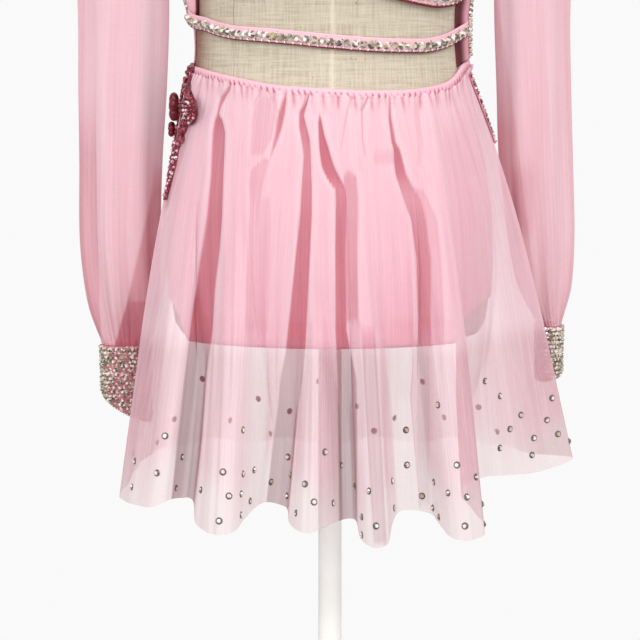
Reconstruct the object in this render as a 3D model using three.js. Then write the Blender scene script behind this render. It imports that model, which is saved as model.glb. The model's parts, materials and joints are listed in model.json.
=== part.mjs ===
// A lyrical dance costume on a limbless dress form with a short table stand. Millimetres. +Z is up, the
// front faces -Y and +X is the viewer's right. The origin is the middle of the base's underside.
// Places round the body are given as a bearing in degrees: 0 is the front, 90 the viewer's right.
import * as THREE from "three";

// Cloth: how thick each wall is, and how far each piece lies outside the form
const SEAM_GAP = 0.35;
const BAND_GAP = 0.65;
const FORM_GAP = 1.2;
const BODICE_GAP = 2.8;
const MESH_THICK = 1.2;
const BRIEF_THICK = 1.3;
const BODICE_THICK = 1.5;
const BAND_THICK = 3;
const STRAP_THICK = 1.6;
const TRIM_THICK = 2;
const SKIRT_OFF_FORM = 5.5;
const PANEL_OUTER = 2.7;

// Heights
const FORM_BOTTOM = 312;
const BRIEF_EDGE = 309.8;
const WAISTBAND_TALL = 5.6;
const STRAP_TALL = 10;
const BODICE_BACK_EDGE = 572;
const ARMHOLE = { z: 742, up: 43, across: 35 };

// Stand
const BASE = { radius: 150, thick: 9, hubRadius: 24, hubTop: 24, socketFloor: 6 };
const POLE = { radius: 9, flangeRadius: 12.5, flangeThick: 8 };
const NECK_CAP = { radius: 43, thick: 12 };

// Gathers: each is one ridge and one valley, and they fade out down the cloth
const GATHER = { skirtDepth: 0.95, skirtReach: 0.3, sleeveDepth: 0.8 };

// The form, by height: half of its width and half of its depth
const FORM = [
  { z: 312, wide: 114, deep: 98 },
  { z: 319, wide: 118.5, deep: 102.5 },
  { z: 340, wide: 121.5, deep: 106 },
  { z: 365, wide: 122.5, deep: 107.5 },
  { z: 400, wide: 121.5, deep: 106 },
  { z: 440, wide: 116, deep: 100 },
  { z: 475, wide: 109, deep: 92 },
  { z: 505, wide: 103.5, deep: 84.5 },
  { z: 530, wide: 101.5, deep: 81.5 },
  { z: 550, wide: 101.5, deep: 81.5 },
  { z: 575, wide: 103, deep: 83.5 },
  { z: 610, wide: 107.5, deep: 89 },
  { z: 650, wide: 113.5, deep: 95 },
  { z: 690, wide: 118, deep: 97.5 },
  { z: 730, wide: 121, deep: 92 },
  { z: 760, wide: 122.5, deep: 80 },
  { z: 780, wide: 121, deep: 65 },
  { z: 792, wide: 113, deep: 57 },
  { z: 802, wide: 99, deep: 51 },
  { z: 812, wide: 76, deep: 47 },
  { z: 820, wide: 58, deep: 44 },
  { z: 828, wide: 50, deep: 42 },
  { z: 845, wide: 46, deep: 41 },
  { z: 872, wide: 45, deep: 41 },
];

// The waistband's top edge, which dips at the front
const WAIST_LINE = [
  { at: -180, z: 522 },
  { at: -120, z: 520 },
  { at: -90, z: 516 },
  { at: -66, z: 513 },
  { at: -57, z: 511 },
  { at: -40, z: 506.5 },
  { at: -22, z: 501.5 },
  { at: -10, z: 499.8 },
  { at: 4, z: 498.4 },
  { at: 14, z: 497.6 },
  { at: 27, z: 497.6 },
  { at: 45, z: 500.2 },
  { at: 56, z: 504 },
  { at: 64, z: 510 },
  { at: 70, z: 515.5 },
  { at: 80, z: 519 },
  { at: 120, z: 521 },
  { at: 180, z: 522 },
];

// The skirt's hem, round from the left side across the front to the right side and the back. Each row is
// one line of cloth that runs up to the waist at its bearing; bow below 1 leaves the body early, above 1 late.
const HEM = [
  { at: -64, x: -162, y: -25, z: 186.5, bow: 0.68 },
  { at: -59.5, x: -147, y: -70, z: 188.5, bow: 0.8 },
  { at: -55.5, x: -133, y: -95, z: 191, bow: 0.95 },
  { at: -52.5, x: -123, y: -97, z: 195, bow: 1.05 },
  { at: -50.5, x: -118, y: -86, z: 195.5, bow: 1.15 },
  { at: -49, x: -111, y: -67, z: 193, bow: 1.3 },
  { at: -47.5, x: -103.5, y: -75, z: 193, bow: 1.45 },
  { at: -46, x: -99, y: -110, z: 182, bow: 1.45 },
  { at: -43, x: -91, y: -133, z: 180, bow: 1.3 },
  { at: -39, x: -83.5, y: -143, z: 179.3, bow: 1.15 },
  { at: -35, x: -76, y: -145, z: 180, bow: 1.1 },
  { at: -31, x: -69, y: -139, z: 181.5, bow: 1.1 },
  { at: -27, x: -63, y: -123, z: 187, bow: 1.2 },
  { at: -21.5, x: -55, y: -103, z: 192.5, bow: 1.4 },
  { at: -16, x: -47.5, y: -88, z: 193.5, bow: 1.7 },
  { at: -13, x: -39.5, y: -82, z: 191, bow: 1.9 },
  { at: -10, x: -32.5, y: -91, z: 189.5, bow: 2.1 },
  { at: -8.4, x: -30, y: -115, z: 182.5, bow: 2 },
  { at: -6.8, x: -22.5, y: -135, z: 180.2, bow: 1.6 },
  { at: -5.2, x: -14.5, y: -142, z: 180.4, bow: 1.3 },
  { at: -3.4, x: -4.5, y: -135, z: 183, bow: 1.1 },
  { at: -1.6, x: 4, y: -119, z: 184.2, bow: 1 },
  { at: -0.2, x: 9, y: -104, z: 183.2, bow: 1 },
  { at: 1.4, x: 14.4, y: -98, z: 183, bow: 1 },
  { at: 3.2, x: 19, y: -107, z: 182.5, bow: 1 },
  { at: 4.8, x: 21.5, y: -131, z: 175, bow: 1 },
  { at: 7.7, x: 28, y: -149, z: 172, bow: 1 },
  { at: 10.5, x: 35.5, y: -153, z: 171.8, bow: 1 },
  { at: 13.5, x: 42, y: -142, z: 174, bow: 1 },
  { at: 15.5, x: 46, y: -113, z: 184, bow: 1 },
  { at: 19, x: 52, y: -98, z: 188.5, bow: 1.1 },
  { at: 23.5, x: 62, y: -94, z: 188.5, bow: 1.3 },
  { at: 25.5, x: 69, y: -92, z: 187, bow: 1.4 },
  { at: 27.5, x: 76, y: -99, z: 185.5, bow: 1.3 },
  { at: 29.5, x: 82, y: -121, z: 179.5, bow: 1.1 },
  { at: 31.5, x: 88, y: -136, z: 175.8, bow: 1 },
  { at: 34.5, x: 97, y: -143, z: 175, bow: 0.9 },
  { at: 37.5, x: 106, y: -138, z: 175.5, bow: 0.8 },
  { at: 40, x: 112.5, y: -125, z: 177, bow: 0.74 },
  { at: 42, x: 112, y: -104, z: 181.6, bow: 0.78 },
  { at: 44.5, x: 105, y: -84, z: 188, bow: 0.9 },
  { at: 47.5, x: 99, y: -64, z: 195, bow: 1.05 },
  { at: 51.5, x: 104, y: -43, z: 200, bow: 1.05 },
  { at: 57, x: 120.5, y: -24, z: 202, bow: 0.95 },
  { at: 63, x: 135, y: -9, z: 200.5, bow: 0.9 },
  { at: 71, x: 157.5, y: 5, z: 200, bow: 0.86 },
  { at: 79, x: 177, y: 13, z: 204, bow: 0.84 },
  { at: 87, x: 191, y: 22, z: 209, bow: 0.84 },
  { at: 94, x: 182, y: 45, z: 207.5, bow: 0.86 },
  { at: 101, x: 160, y: 74, z: 205, bow: 0.9 },
  { at: 108, x: 144, y: 100, z: 207, bow: 1 },
  { at: 114, x: 131, y: 122, z: 205, bow: 1 },
  { at: 121, x: 112, y: 124, z: 209, bow: 1.1 },
  { at: 127, x: 98, y: 108, z: 213, bow: 1.2 },
  { at: 133, x: 88, y: 124, z: 208, bow: 1.1 },
  { at: 139, x: 80, y: 147, z: 203, bow: 1 },
  { at: 145, x: 64, y: 155, z: 202, bow: 1 },
  { at: 151, x: 50, y: 138, z: 207, bow: 1.1 },
  { at: 157, x: 42, y: 116, z: 212, bow: 1.3 },
  { at: 163, x: 31, y: 114, z: 212, bow: 1.3 },
  { at: 168, x: 23, y: 136, z: 206, bow: 1.1 },
  { at: 174, x: 11, y: 157, z: 201, bow: 1 },
  { at: 180, x: -6, y: 161, z: 200, bow: 1 },
  { at: 187, x: -22, y: 146, z: 204, bow: 1.1 },
  { at: 193, x: -30, y: 120, z: 210, bow: 1.3 },
  { at: 199, x: -40, y: 113, z: 212, bow: 1.3 },
  { at: 205, x: -49, y: 130, z: 207, bow: 1.1 },
  { at: 211, x: -58, y: 150, z: 203, bow: 1 },
  { at: 217, x: -74, y: 153, z: 203, bow: 1 },
  { at: 223, x: -87, y: 136, z: 207, bow: 1.1 },
  { at: 229, x: -94, y: 112, z: 212, bow: 1.3 },
  { at: 235, x: -104, y: 104, z: 211, bow: 1.3 },
  { at: 241, x: -116, y: 114, z: 206, bow: 1.1 },
  { at: 247, x: -129, y: 108, z: 205, bow: 1 },
  { at: 254, x: -137, y: 84, z: 207, bow: 0.95 },
  { at: 261, x: -142, y: 54, z: 207, bow: 0.9 },
  { at: 268, x: -148, y: 24, z: 206, bow: 0.85 },
  { at: 277, x: -153, y: 5, z: 200, bow: 0.85 },
  { at: 286, x: -157, y: -9, z: 193, bow: 0.8 },
];

// How far down the skirt each ring of points lies, from 0 at the waistband to 1 at the hem
const SKIRT_RINGS = [0, 0.06, 0.15, 0.27, 0.41, 0.57, 0.77, 1];

// The narrowest that the skirt hangs, by height: over the hips, and in its valleys below them
const SKIRT_INNER = [
  { z: 170, wide: 97, deep: 78 },
  { z: 230, wide: 106, deep: 89 },
  { z: 290, wide: 121.5, deep: 107 },
  { z: 335, wide: 127, deep: 111.8 },
  { z: 365, wide: 128, deep: 113 },
  { z: 400, wide: 127, deep: 111.5 },
  { z: 440, wide: 121.5, deep: 105.5 },
  { z: 475, wide: 114.5, deep: 97.5 },
  { z: 505, wide: 109, deep: 90 },
  { z: 530, wide: 107, deep: 87 },
];

// The brief's lower edge, which rises at each leg
const BRIEF_LINE = [
  { at: -180, z: BRIEF_EDGE },
  { at: -138, z: BRIEF_EDGE },
  { at: -124, z: 325 },
  { at: -108, z: 338 },
  { at: -90, z: 341 },
  { at: -77, z: 337 },
  { at: -68, z: 325 },
  { at: -60, z: BRIEF_EDGE },
  { at: 49, z: BRIEF_EDGE },
  { at: 57, z: 329 },
  { at: 68, z: 337 },
  { at: 88, z: 341 },
  { at: 108, z: 338 },
  { at: 124, z: 325 },
  { at: 138, z: BRIEF_EDGE },
  { at: 180, z: BRIEF_EDGE },
];

// The midriff strap's middle line, and how far its inside stands off the form
const STRAP_LINE = [
  { at: -86, z: 552, off: 7.6 },
  { at: -78, z: 549.5, off: 7 },
  { at: -71, z: 547.3, off: 4.2 },
  { at: -64, z: 546, off: 1.8 },
  { at: -54, z: 542.5, off: 1.2 },
  { at: -42, z: 539.5, off: 1.2 },
  { at: -28, z: 537.8, off: 1.2 },
  { at: -16, z: 536, off: 1.2 },
  { at: 0, z: 533.3, off: 1.2 },
  { at: 20, z: 530.6, off: 1.2 },
  { at: 35, z: 530, off: 1.2 },
  { at: 42, z: 530.1, off: 1.2 },
  { at: 49, z: 531.4, off: 1.2 },
  { at: 58, z: 534.6, off: 1.4 },
  { at: 65, z: 538.2, off: 2.6 },
  { at: 71, z: 541.5, off: 5 },
  { at: 76, z: 543.5, off: 5.8 },
  { at: 85, z: 545.5, off: 5.8 },
];

// The bodice's lower edge at the front, lowest under the viewer's right
const BODICE_LOW = [
  { at: -90, z: 572.5 },
  { at: -60, z: 580 },
  { at: -32, z: 588 },
  { at: 0, z: 578 },
  { at: 20, z: 567 },
  { at: 30, z: 563 },
  { at: 41, z: 559.6 },
  { at: 48, z: 558.4 },
  { at: 56, z: 559.2 },
  { at: 68, z: 564 },
  { at: 76, z: 572.4 },
  { at: 90, z: 573 },
];

// The bodice's upper edge on one side: armhole, shoulder seam and neckline
const BODICE_TOP_FRONT = [
  { at: 0, to: 0, z: 742 },
  { at: 10, to: 11.8, z: 744 },
  { at: 18, to: 21.6, z: 754 },
  { at: 24, to: 28.5, z: 772 },
  { at: 28, to: 34, z: 790 },
  { at: 31, to: 45, z: 803 },
  { at: 33, to: 62, z: 810 },
  { at: 35.5, to: 89.4, z: 814 },
  { at: 43, to: 89.4, z: 805 },
  { at: 51, to: 89.2, z: 796 },
  { at: 54, to: 76, z: 784 },
  { at: 58, to: 70.5, z: 773 },
  { at: 66, to: 67, z: 745 },
  { at: 73, to: 73.5, z: 717 },
  { at: 81, to: 81, z: 705.5 },
  { at: 89.8, to: 89.8, z: 700 },
];
const BODICE_TOP_BACK = [
  { at: 0, to: 0, z: 778 },
  { at: 10, to: 12, z: 779 },
  { at: 18, to: 23, z: 784 },
  { at: 24, to: 32, z: 791 },
  { at: 28, to: 39, z: 799 },
  { at: 31, to: 51, z: 806 },
  { at: 33, to: 66, z: 811 },
  ...BODICE_TOP_FRONT.slice(7),
];
const BODICE_STOPS = [0, 9, 17, 24, 28, 31, 33, 35.5, 39, 43, 47, 51, 54, 58, 66, 74, 82, 89.8];
const BODICE_RISE = [0, 0.25, 0.48, 0.66, 0.77, 0.85, 0.91, 0.96, 1];
const BODICE_TURN = 745;
const SHOULDER_EASE = 4.5;

// The edge trims at the body's sides, by height: the bearing of the front edge and how far it stands off
const RIGHT_EDGE = [
  { z: 523, at: 77, off: 3.2 },
  { z: 536, at: 76, off: 3.2 },
  { z: 552, at: 76, off: 3.2 },
  { z: 571, at: 78, off: 3.8 },
];
const LEFT_EDGE = [
  { z: 523, at: -93, off: 3.5 },
  { z: 538, at: -91, off: 3.5 },
  { z: 547, at: -84, off: 3.6 },
  { z: 556, at: -80, off: 4.6 },
  { z: 564, at: -79, off: 6.6 },
  { z: 571, at: -79, off: 8 },
];
const EDGE_TRIM_ARC = 16;

// The hip trims lie on the skirt: how far down it they run, and the bearings that they lie between
const LEFT_HIP = [
  { down: 0.012, from: -103, to: -86 },
  { down: 0.06, from: -104, to: -86 },
  { down: 0.12, from: -104, to: -87 },
  { down: 0.2, from: -102, to: -88 },
  { down: 0.28, from: -100, to: -89 },
  { down: 0.345, from: -97, to: -91 },
];
const RIGHT_HIP = [
  { down: 0.012, from: 80, to: 94 },
  { down: 0.06, from: 82, to: 94 },
  { down: 0.12, from: 84, to: 93 },
  { down: 0.19, from: 86, to: 92 },
];

// The sleeves, from the armhole down: middle of each ring, its halves, how far it leans out at the top,
// and how deep its soft folds are
const LEFT_SLEEVE = [
  { x: -122, y: 0, z: 742, lean: 90, wide: 43, deep: 36, fold: 0 },
  { x: -138.5, y: 3, z: 738, lean: 74, wide: 45, deep: 38, fold: 0.6 },
  { x: -153, y: 8, z: 722, lean: 48, wide: 43, deep: 38, fold: 1 },
  { x: -161.5, y: 14, z: 690, lean: 20, wide: 38, deep: 37, fold: 1 },
  { x: -162, y: 22, z: 640, lean: 4, wide: 37, deep: 35, fold: 1.2 },
  { x: -158.4, y: 30, z: 565, lean: 0, wide: 36, deep: 34, fold: 1.5 },
  { x: -160.3, y: 35, z: 500, lean: 0, wide: 35, deep: 34, fold: 1.6 },
  { x: -163.5, y: 40, z: 441, lean: 0, wide: 32, deep: 34, fold: 1.8 },
  { x: -165, y: 45, z: 380, lean: 0, wide: 31, deep: 33, fold: 2.2 },
  { x: -163.2, y: 48, z: 334, lean: 0, wide: 28, deep: 29, fold: 2.6 },
  { x: -161.8, y: 50, z: 308, lean: 0, wide: 23, deep: 21, fold: 1.6 },
  { x: -161, y: 50, z: 296, lean: 0, wide: 19.5, deep: 17, fold: 0 },
];
const RIGHT_SLEEVE = [
  { x: 122, y: 0, z: 742, lean: 90, wide: 43, deep: 36, fold: 0 },
  { x: 138.5, y: 3, z: 738, lean: 74, wide: 45, deep: 38, fold: 0.6 },
  { x: 151.5, y: 8, z: 722, lean: 48, wide: 40.5, deep: 38, fold: 1 },
  { x: 158.5, y: 14, z: 690, lean: 20, wide: 35, deep: 37, fold: 1 },
  { x: 158, y: 21, z: 640, lean: 4, wide: 32, deep: 35, fold: 1.2 },
  { x: 156, y: 28, z: 565, lean: 0, wide: 29, deep: 34, fold: 1.5 },
  { x: 158.5, y: 34, z: 500, lean: 0, wide: 28.5, deep: 33, fold: 1.6 },
  { x: 161.5, y: 43, z: 441, lean: 0, wide: 28.5, deep: 32, fold: 1.8 },
  { x: 166.5, y: 53, z: 385, lean: 0, wide: 26, deep: 31, fold: 2 },
  { x: 170, y: 61, z: 345, lean: 0, wide: 21.5, deep: 29, fold: 2.2 },
  { x: 173, y: 67, z: 321, lean: 0, wide: 14, deep: 27.5, fold: 1 },
  { x: 174.8, y: 70, z: 310, lean: 0, wide: 10, deep: 26.5, fold: 0 },
];
const SLEEVE_FOLDS = 7;

// The cuffs: an upright oval tube each, with a lower edge that slants down towards the body
const LEFT_CUFF = { x: -161, y: 50, wide: 19.8, deep: 17.3, top: 295.6, outer: 258.5, inner: 234, taper: 0.95 };
const RIGHT_CUFF = { x: 174.8, y: 70, wide: 10.2, deep: 26.7, top: 309.6, outer: 272, inner: 265, taper: 0.96 };
const CUFF_THICK = 1.5;

// Trimmings on the left hip
const FLOWERS = [
  { name: "hip_flower_upper", x: -119.1, y: 3, z: 482, radius: 12.5, thick: 6.5 },
  { name: "hip_flower_lower", x: -122.6, y: 8, z: 459, radius: 7.5, thick: 5 },
];
const ROSETTE = { x: -104.5, y: -48.7, z: 482, radius: 11, thick: 4.5, facing: -54 };

// Finishes
const COLOURS = {
  pinkMesh: { color: 0xf0c2cc, roughness: 0.75, metalness: 0 },
  pinkStretch: { color: 0xf5b4c2, roughness: 0.6, metalness: 0 },
  burgundy: { color: 0x7a2530, roughness: 0.45, metalness: 0 },
  crystal: { color: 0xcdb9b4, roughness: 0.2, metalness: 0.4 },
  linen: { color: 0xd1c6b3, roughness: 0.9, metalness: 0 },
  whitePaint: { color: 0xf4f4f2, roughness: 0.4, metalness: 0.1 },
};

const costume = new THREE.Group();
costume.name = "lyrical_dance_costume";

const radians = THREE.MathUtils.degToRad;
const mix = THREE.MathUtils.lerp;

// Reads a table between its rows, with a smooth curve through each column that never overshoots.
function readTable(rows, key, place) {
  const last = rows.length - 1;
  let row = 0;
  while (row < last - 1 && place > rows[row + 1][key]) row += 1;
  const span = rows[row + 1][key] - rows[row][key];
  const t = THREE.MathUtils.clamp((place - rows[row][key]) / span, 0, 1);
  const slope = (name, at) => {
    if (at === 0 || at === last) return 0;
    const before = (rows[at][name] - rows[at - 1][name]) / (rows[at][key] - rows[at - 1][key]);
    const after = (rows[at + 1][name] - rows[at][name]) / (rows[at + 1][key] - rows[at][key]);
    return before * after <= 0 ? 0 : (2 * before * after) / (before + after);
  };
  const read = {};
  for (const name of Object.keys(rows[row])) {
    const start = rows[row][name];
    const end = rows[row + 1][name];
    const leave = slope(name, row) * span;
    const arrive = slope(name, row + 1) * span;
    const bend = (1 - t) * leave - t * arrive + (2 * t - 1) * (end - start);
    read[name] = mix(start, end, t) + t * (1 - t) * bend;
  }
  return read;
}

// A point at a bearing and height, a distance outside the form.
function onForm(bearing, z, off) {
  const ring = readTable(FORM, "z", z);
  const angle = radians(bearing);
  return new THREE.Vector3((ring.wide + off) * Math.sin(angle), -(ring.deep + off) * Math.cos(angle), z);
}

// Adds a named mesh made of points and triangles, with its faces turned outwards.
function addBody(name, points, faces, finish) {
  let volume = 0;
  for (let i = 0; i < faces.length; i += 3) {
    const [a, b, c] = [points[faces[i]], points[faces[i + 1]], points[faces[i + 2]]];
    volume += a.dot(b.clone().cross(c));
  }
  const facing = volume < 0 ? faces.slice().reverse() : faces;
  const geometry = new THREE.BufferGeometry();
  geometry.setAttribute("position", new THREE.Float32BufferAttribute(points.flatMap((p) => p.toArray()), 3));
  geometry.setIndex(facing);
  geometry.computeVertexNormals();
  addMesh(name, geometry, finish);
}

function addMesh(name, geometry, finish) {
  const mesh = new THREE.Mesh(geometry, new THREE.MeshStandardMaterial({ ...COLOURS[finish], name: finish }));
  mesh.name = name;
  costume.add(mesh);
}

// A closed cloth wall between an outer and an inner grid of points. A grid is a list of rows, from one
// edge of the cloth to the other; a looped grid joins its last column to its first.
function addWall(name, outer, inner, looped, finish) {
  const rows = outer.length;
  const columns = outer[0].length;
  const points = [...outer.flat(), ...inner.flat()];
  const out = (r, c) => r * columns + (c % columns);
  const back = (r, c) => rows * columns + out(r, c);
  const faces = [];
  const quad = (a, b, c, d) => faces.push(a, b, c, a, c, d);
  const steps = looped ? columns : columns - 1;
  for (let c = 0; c < steps; c += 1) {
    for (let r = 0; r < rows - 1; r += 1) {
      quad(out(r, c), out(r, c + 1), out(r + 1, c + 1), out(r + 1, c));
      quad(back(r, c), back(r + 1, c), back(r + 1, c + 1), back(r, c + 1));
    }
    quad(out(0, c), back(0, c), back(0, c + 1), out(0, c + 1));
    quad(out(rows - 1, c), out(rows - 1, c + 1), back(rows - 1, c + 1), back(rows - 1, c));
  }
  for (let r = 0; r < rows - 1 && !looped; r += 1) {
    quad(out(r, 0), out(r + 1, 0), back(r + 1, 0), back(r, 0));
    quad(out(r, steps), back(r, steps), back(r + 1, steps), out(r + 1, steps));
  }
  addBody(name, points, faces, finish);
}

// Builds the outer and inner grids of a wall from one function of column, row and side.
function addClothWall(name, columns, rows, place, looped, finish) {
  const grid = (side) => rows.map((row, r) => columns.map((column, c) => place(column, row, side, c, r)));
  addWall(name, grid(1), grid(0), looped, finish);
}

// Evenly spaced numbers from one value to another, both included.
function steps(from, to, count) {
  return Array.from({ length: count + 1 }, (_, i) => mix(from, to, i / count));
}

// Form and stand
function addForm() {
  const bearings = steps(-180, 180, 40).slice(0, -1);
  const rings = FORM.map((ring) => bearings.map((bearing) => onForm(bearing, ring.z, 0)));
  const points = [...rings.flat(), new THREE.Vector3(0, 0, FORM_BOTTOM), new THREE.Vector3(0, 0, FORM.at(-1).z)];
  const count = bearings.length;
  const at = (r, c) => r * count + (c % count);
  const faces = [];
  for (let c = 0; c < count; c += 1) {
    for (let r = 0; r < rings.length - 1; r += 1) {
      faces.push(at(r, c), at(r, c + 1), at(r + 1, c + 1), at(r, c), at(r + 1, c + 1), at(r + 1, c));
    }
    faces.push(points.length - 2, at(0, c + 1), at(0, c));
    faces.push(points.length - 1, at(rings.length - 1, c), at(rings.length - 1, c + 1));
  }
  addBody("form_torso", points, faces, "linen");
}

function addLathe(name, profile, finish) {
  const geometry = new THREE.LatheGeometry(profile.map(([r, z]) => new THREE.Vector2(r, z)), 32);
  geometry.rotateX(Math.PI / 2);
  addMesh(name, geometry, finish);
}

function addStand() {
  const { radius, thick, hubRadius, hubTop, socketFloor } = BASE;
  const socket = POLE.radius + SEAM_GAP;
  addLathe("stand_base", [
    [0, 0],
    [radius - 2, 0],
    [radius, 2],
    [radius, thick - 3],
    [radius - 4, thick],
    [hubRadius + 8, thick + 1],
    [hubRadius, thick + 6],
    [hubRadius - 4, hubTop],
    [socket, hubTop],
    [socket, socketFloor],
    [0, socketFloor],
  ], "whitePaint");
  const top = FORM_BOTTOM - 0.3;
  addLathe("stand_pole", [
    [0, socketFloor + 0.3],
    [POLE.radius, socketFloor + 0.3],
    [POLE.radius, top - POLE.flangeThick - 4],
    [POLE.flangeRadius, top - POLE.flangeThick],
    [POLE.flangeRadius, top],
    [0, top],
  ], "whitePaint");
  const neck = FORM.at(-1).z + 0.3;
  addLathe("neck_cap", [
    [0, neck],
    [NECK_CAP.radius - 2, neck],
    [NECK_CAP.radius - 1, neck + 4],
    [NECK_CAP.radius - 8, neck + 9],
    [NECK_CAP.radius - 24, neck + NECK_CAP.thick],
    [0, neck + NECK_CAP.thick + 1],
  ], "linen");
}

// Skirt: every line of cloth runs from the waistband to its place on the hem, outside the hips
const skirtLines = HEM.flatMap((row, i) => {
  const turn = (k) => {
    const wrapped = (k + HEM.length) % HEM.length;
    return { ...HEM[wrapped], at: HEM[wrapped].at + 360 * Math.floor(k / HEM.length) };
  };
  const [before, next, after] = [turn(i - 1), turn(i + 1), turn(i + 2)];
  const middle = {};
  for (const name of Object.keys(row)) {
    middle[name] = (9 * (row[name] + next[name]) - before[name] - after[name]) / 16;
  }
  return [{ ...row }, middle];
});

function waistLine(bearing) {
  const wrapped = THREE.MathUtils.euclideanModulo(bearing + 180, 360) - 180;
  return readTable(WAIST_LINE, "at", wrapped).z;
}

function skirtPoint(line, down, off) {
  const top = waistLine(line.at) - WAISTBAND_TALL - BAND_GAP;
  const waist = onForm(line.at, top, SKIRT_OFF_FORM);
  const share = down ** line.bow;
  const x = mix(waist.x, line.x, share);
  const y = mix(waist.y, line.y, share);
  const z = mix(waist.z, line.z, down);
  const hang = readTable(SKIRT_INNER, "z", z);
  const reach = Math.hypot(x / hang.wide, y / hang.deep);
  const clear = Math.max(reach, 1) / reach;
  const out = new THREE.Vector2(x * clear, y * clear);
  const normal = new THREE.Vector2(out.x / hang.wide ** 2, out.y / hang.deep ** 2).normalize();
  return new THREE.Vector3(out.x + normal.x * off, out.y + normal.y * off, z);
}

// The line of cloth that starts at a bearing on the waistband.
function skirtLineAt(bearing) {
  const turned = THREE.MathUtils.euclideanModulo(bearing - skirtLines[0].at, 360) + skirtLines[0].at;
  const closing = { ...skirtLines[0], at: skirtLines[0].at + 360 };
  return readTable([...skirtLines, closing], "at", turned);
}

function addSkirt() {
  const place = (line, down, side, column) => {
    const fade = Math.max(0, 1 - down / GATHER.skirtReach);
    const gather = (column % 2 ? -1 : 1) * GATHER.skirtDepth * fade;
    return skirtPoint(line, down, gather - (side ? 0 : MESH_THICK));
  };
  addClothWall("skirt", skirtLines, SKIRT_RINGS, place, true, "pinkMesh");
}

function addWaistband() {
  const bearings = steps(-180, 180, 72).slice(0, -1);
  const place = (bearing, down, side) => {
    const z = waistLine(bearing) - down * WAISTBAND_TALL;
    return onForm(bearing, z, FORM_GAP + (side ? BAND_THICK : 0));
  };
  addClothWall("waistband", bearings, [0, 1], place, true, "pinkStretch");
}

// Brief: front and back pieces, with a flat gusset that is parted round the pole
function addBrief(name, from, to) {
  const place = (bearing, down, side) => {
    const top = waistLine(bearing) - WAISTBAND_TALL - BAND_GAP;
    const z = mix(top, readTable(BRIEF_LINE, "at", THREE.MathUtils.euclideanModulo(bearing + 180, 360) - 180).z, down);
    const ring = onForm(bearing, Math.max(z, 326), FORM_GAP + (side ? BRIEF_THICK : 0));
    return ring.setZ(z);
  };
  addClothWall(name, steps(from, to, 21), steps(0, 1, 6), place, false, "pinkStretch");
}

function addGusset() {
  const [half, reach, hole] = [27, 101.5, POLE.flangeRadius + 1.5];
  const shape = new THREE.Shape();
  shape.moveTo(-half, -reach);
  shape.lineTo(half, -reach);
  shape.lineTo(half, reach);
  shape.lineTo(-half, reach);
  shape.closePath();
  shape.holes.push(new THREE.Path().absarc(0, 0, hole, 0, Math.PI * 2, true));
  const geometry = new THREE.ExtrudeGeometry(shape, { depth: BRIEF_THICK, bevelEnabled: false, curveSegments: 12 });
  geometry.translate(0, 0, BRIEF_EDGE + 0.4);
  addMesh("brief_gusset", geometry, "pinkStretch");
}

// How far the bodice's inside stands off the form, which is more over the shoulders.
function bodiceInner(z) {
  return BODICE_GAP + SHOULDER_EASE * THREE.MathUtils.smoothstep(z, 745, 785);
}

// Bodice front and back: each column runs up from the lower edge, and turns to the shoulder seam above
// the armhole
function addBodice(name, topRows, faceBack, lowEdge) {
  const bearings = [...BODICE_STOPS.slice(1).reverse().map((at) => -at), ...BODICE_STOPS];
  const place = (bearing, up, side) => {
    const top = readTable(topRows, "at", Math.abs(bearing));
    const z = mix(lowEdge(bearing), top.z, up);
    const turn = THREE.MathUtils.smoothstep(z, Math.min(BODICE_TURN, top.z - 30), top.z);
    const leaning = mix(Math.abs(bearing), top.to, turn) * Math.sign(bearing);
    const round = faceBack ? 180 - leaning : leaning;
    return onForm(round, z, bodiceInner(z) + (side ? BODICE_THICK : 0));
  };
  addClothWall(name, bearings, BODICE_RISE, place, false, "pinkStretch");
}

// Back panel: from side to side over the back, between the waistband and the bodice
function addBackPanel() {
  const place = (share, up, side) => {
    const low = waistLine(mix(80, 265, share)) + 2 * BAND_GAP;
    const z = mix(low, BODICE_BACK_EDGE - BAND_GAP, up);
    const from = readTable(RIGHT_EDGE, "z", z).at + 3;
    const to = 360 + readTable(LEFT_EDGE, "z", z).at - 3;
    return onForm(mix(from, to, share), z, side ? PANEL_OUTER : FORM_GAP);
  };
  addClothWall("back_panel", steps(0, 1, 28), steps(0, 1, 3), place, false, "pinkStretch");
}

function addEdgeTrim(name, edge, turn) {
  const heights = steps(edge[0].z, edge.at(-1).z, 7);
  const place = (share, z, side) => {
    const front = readTable(edge, "z", z);
    const off = mix(front.off, Math.max(PANEL_OUTER + BAND_GAP, front.off - 1), share);
    return onForm(front.at + turn * share * EDGE_TRIM_ARC, z, off + (side ? TRIM_THICK : 0));
  };
  addClothWall(name, steps(0, 1, 3), heights, place, false, "burgundy");
}

function addStrap() {
  const place = (bearing, down, side) => {
    const line = readTable(STRAP_LINE, "at", bearing);
    return onForm(bearing, line.z + STRAP_TALL * (0.5 - down), line.off + (side ? STRAP_THICK : 0));
  };
  addClothWall("midriff_strap", steps(-86, 85, 44), [0, 1], place, false, "pinkStretch");
}

function addHipTrim(name, rows) {
  const place = (share, row, side) => {
    const line = skirtLineAt(mix(row.from, row.to, share));
    const off = GATHER.skirtDepth + SEAM_GAP + (side ? TRIM_THICK : 0);
    return skirtPoint(line, row.down, off);
  };
  addClothWall(name, steps(0, 1, 4), rows, place, false, "burgundy");
}

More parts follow.
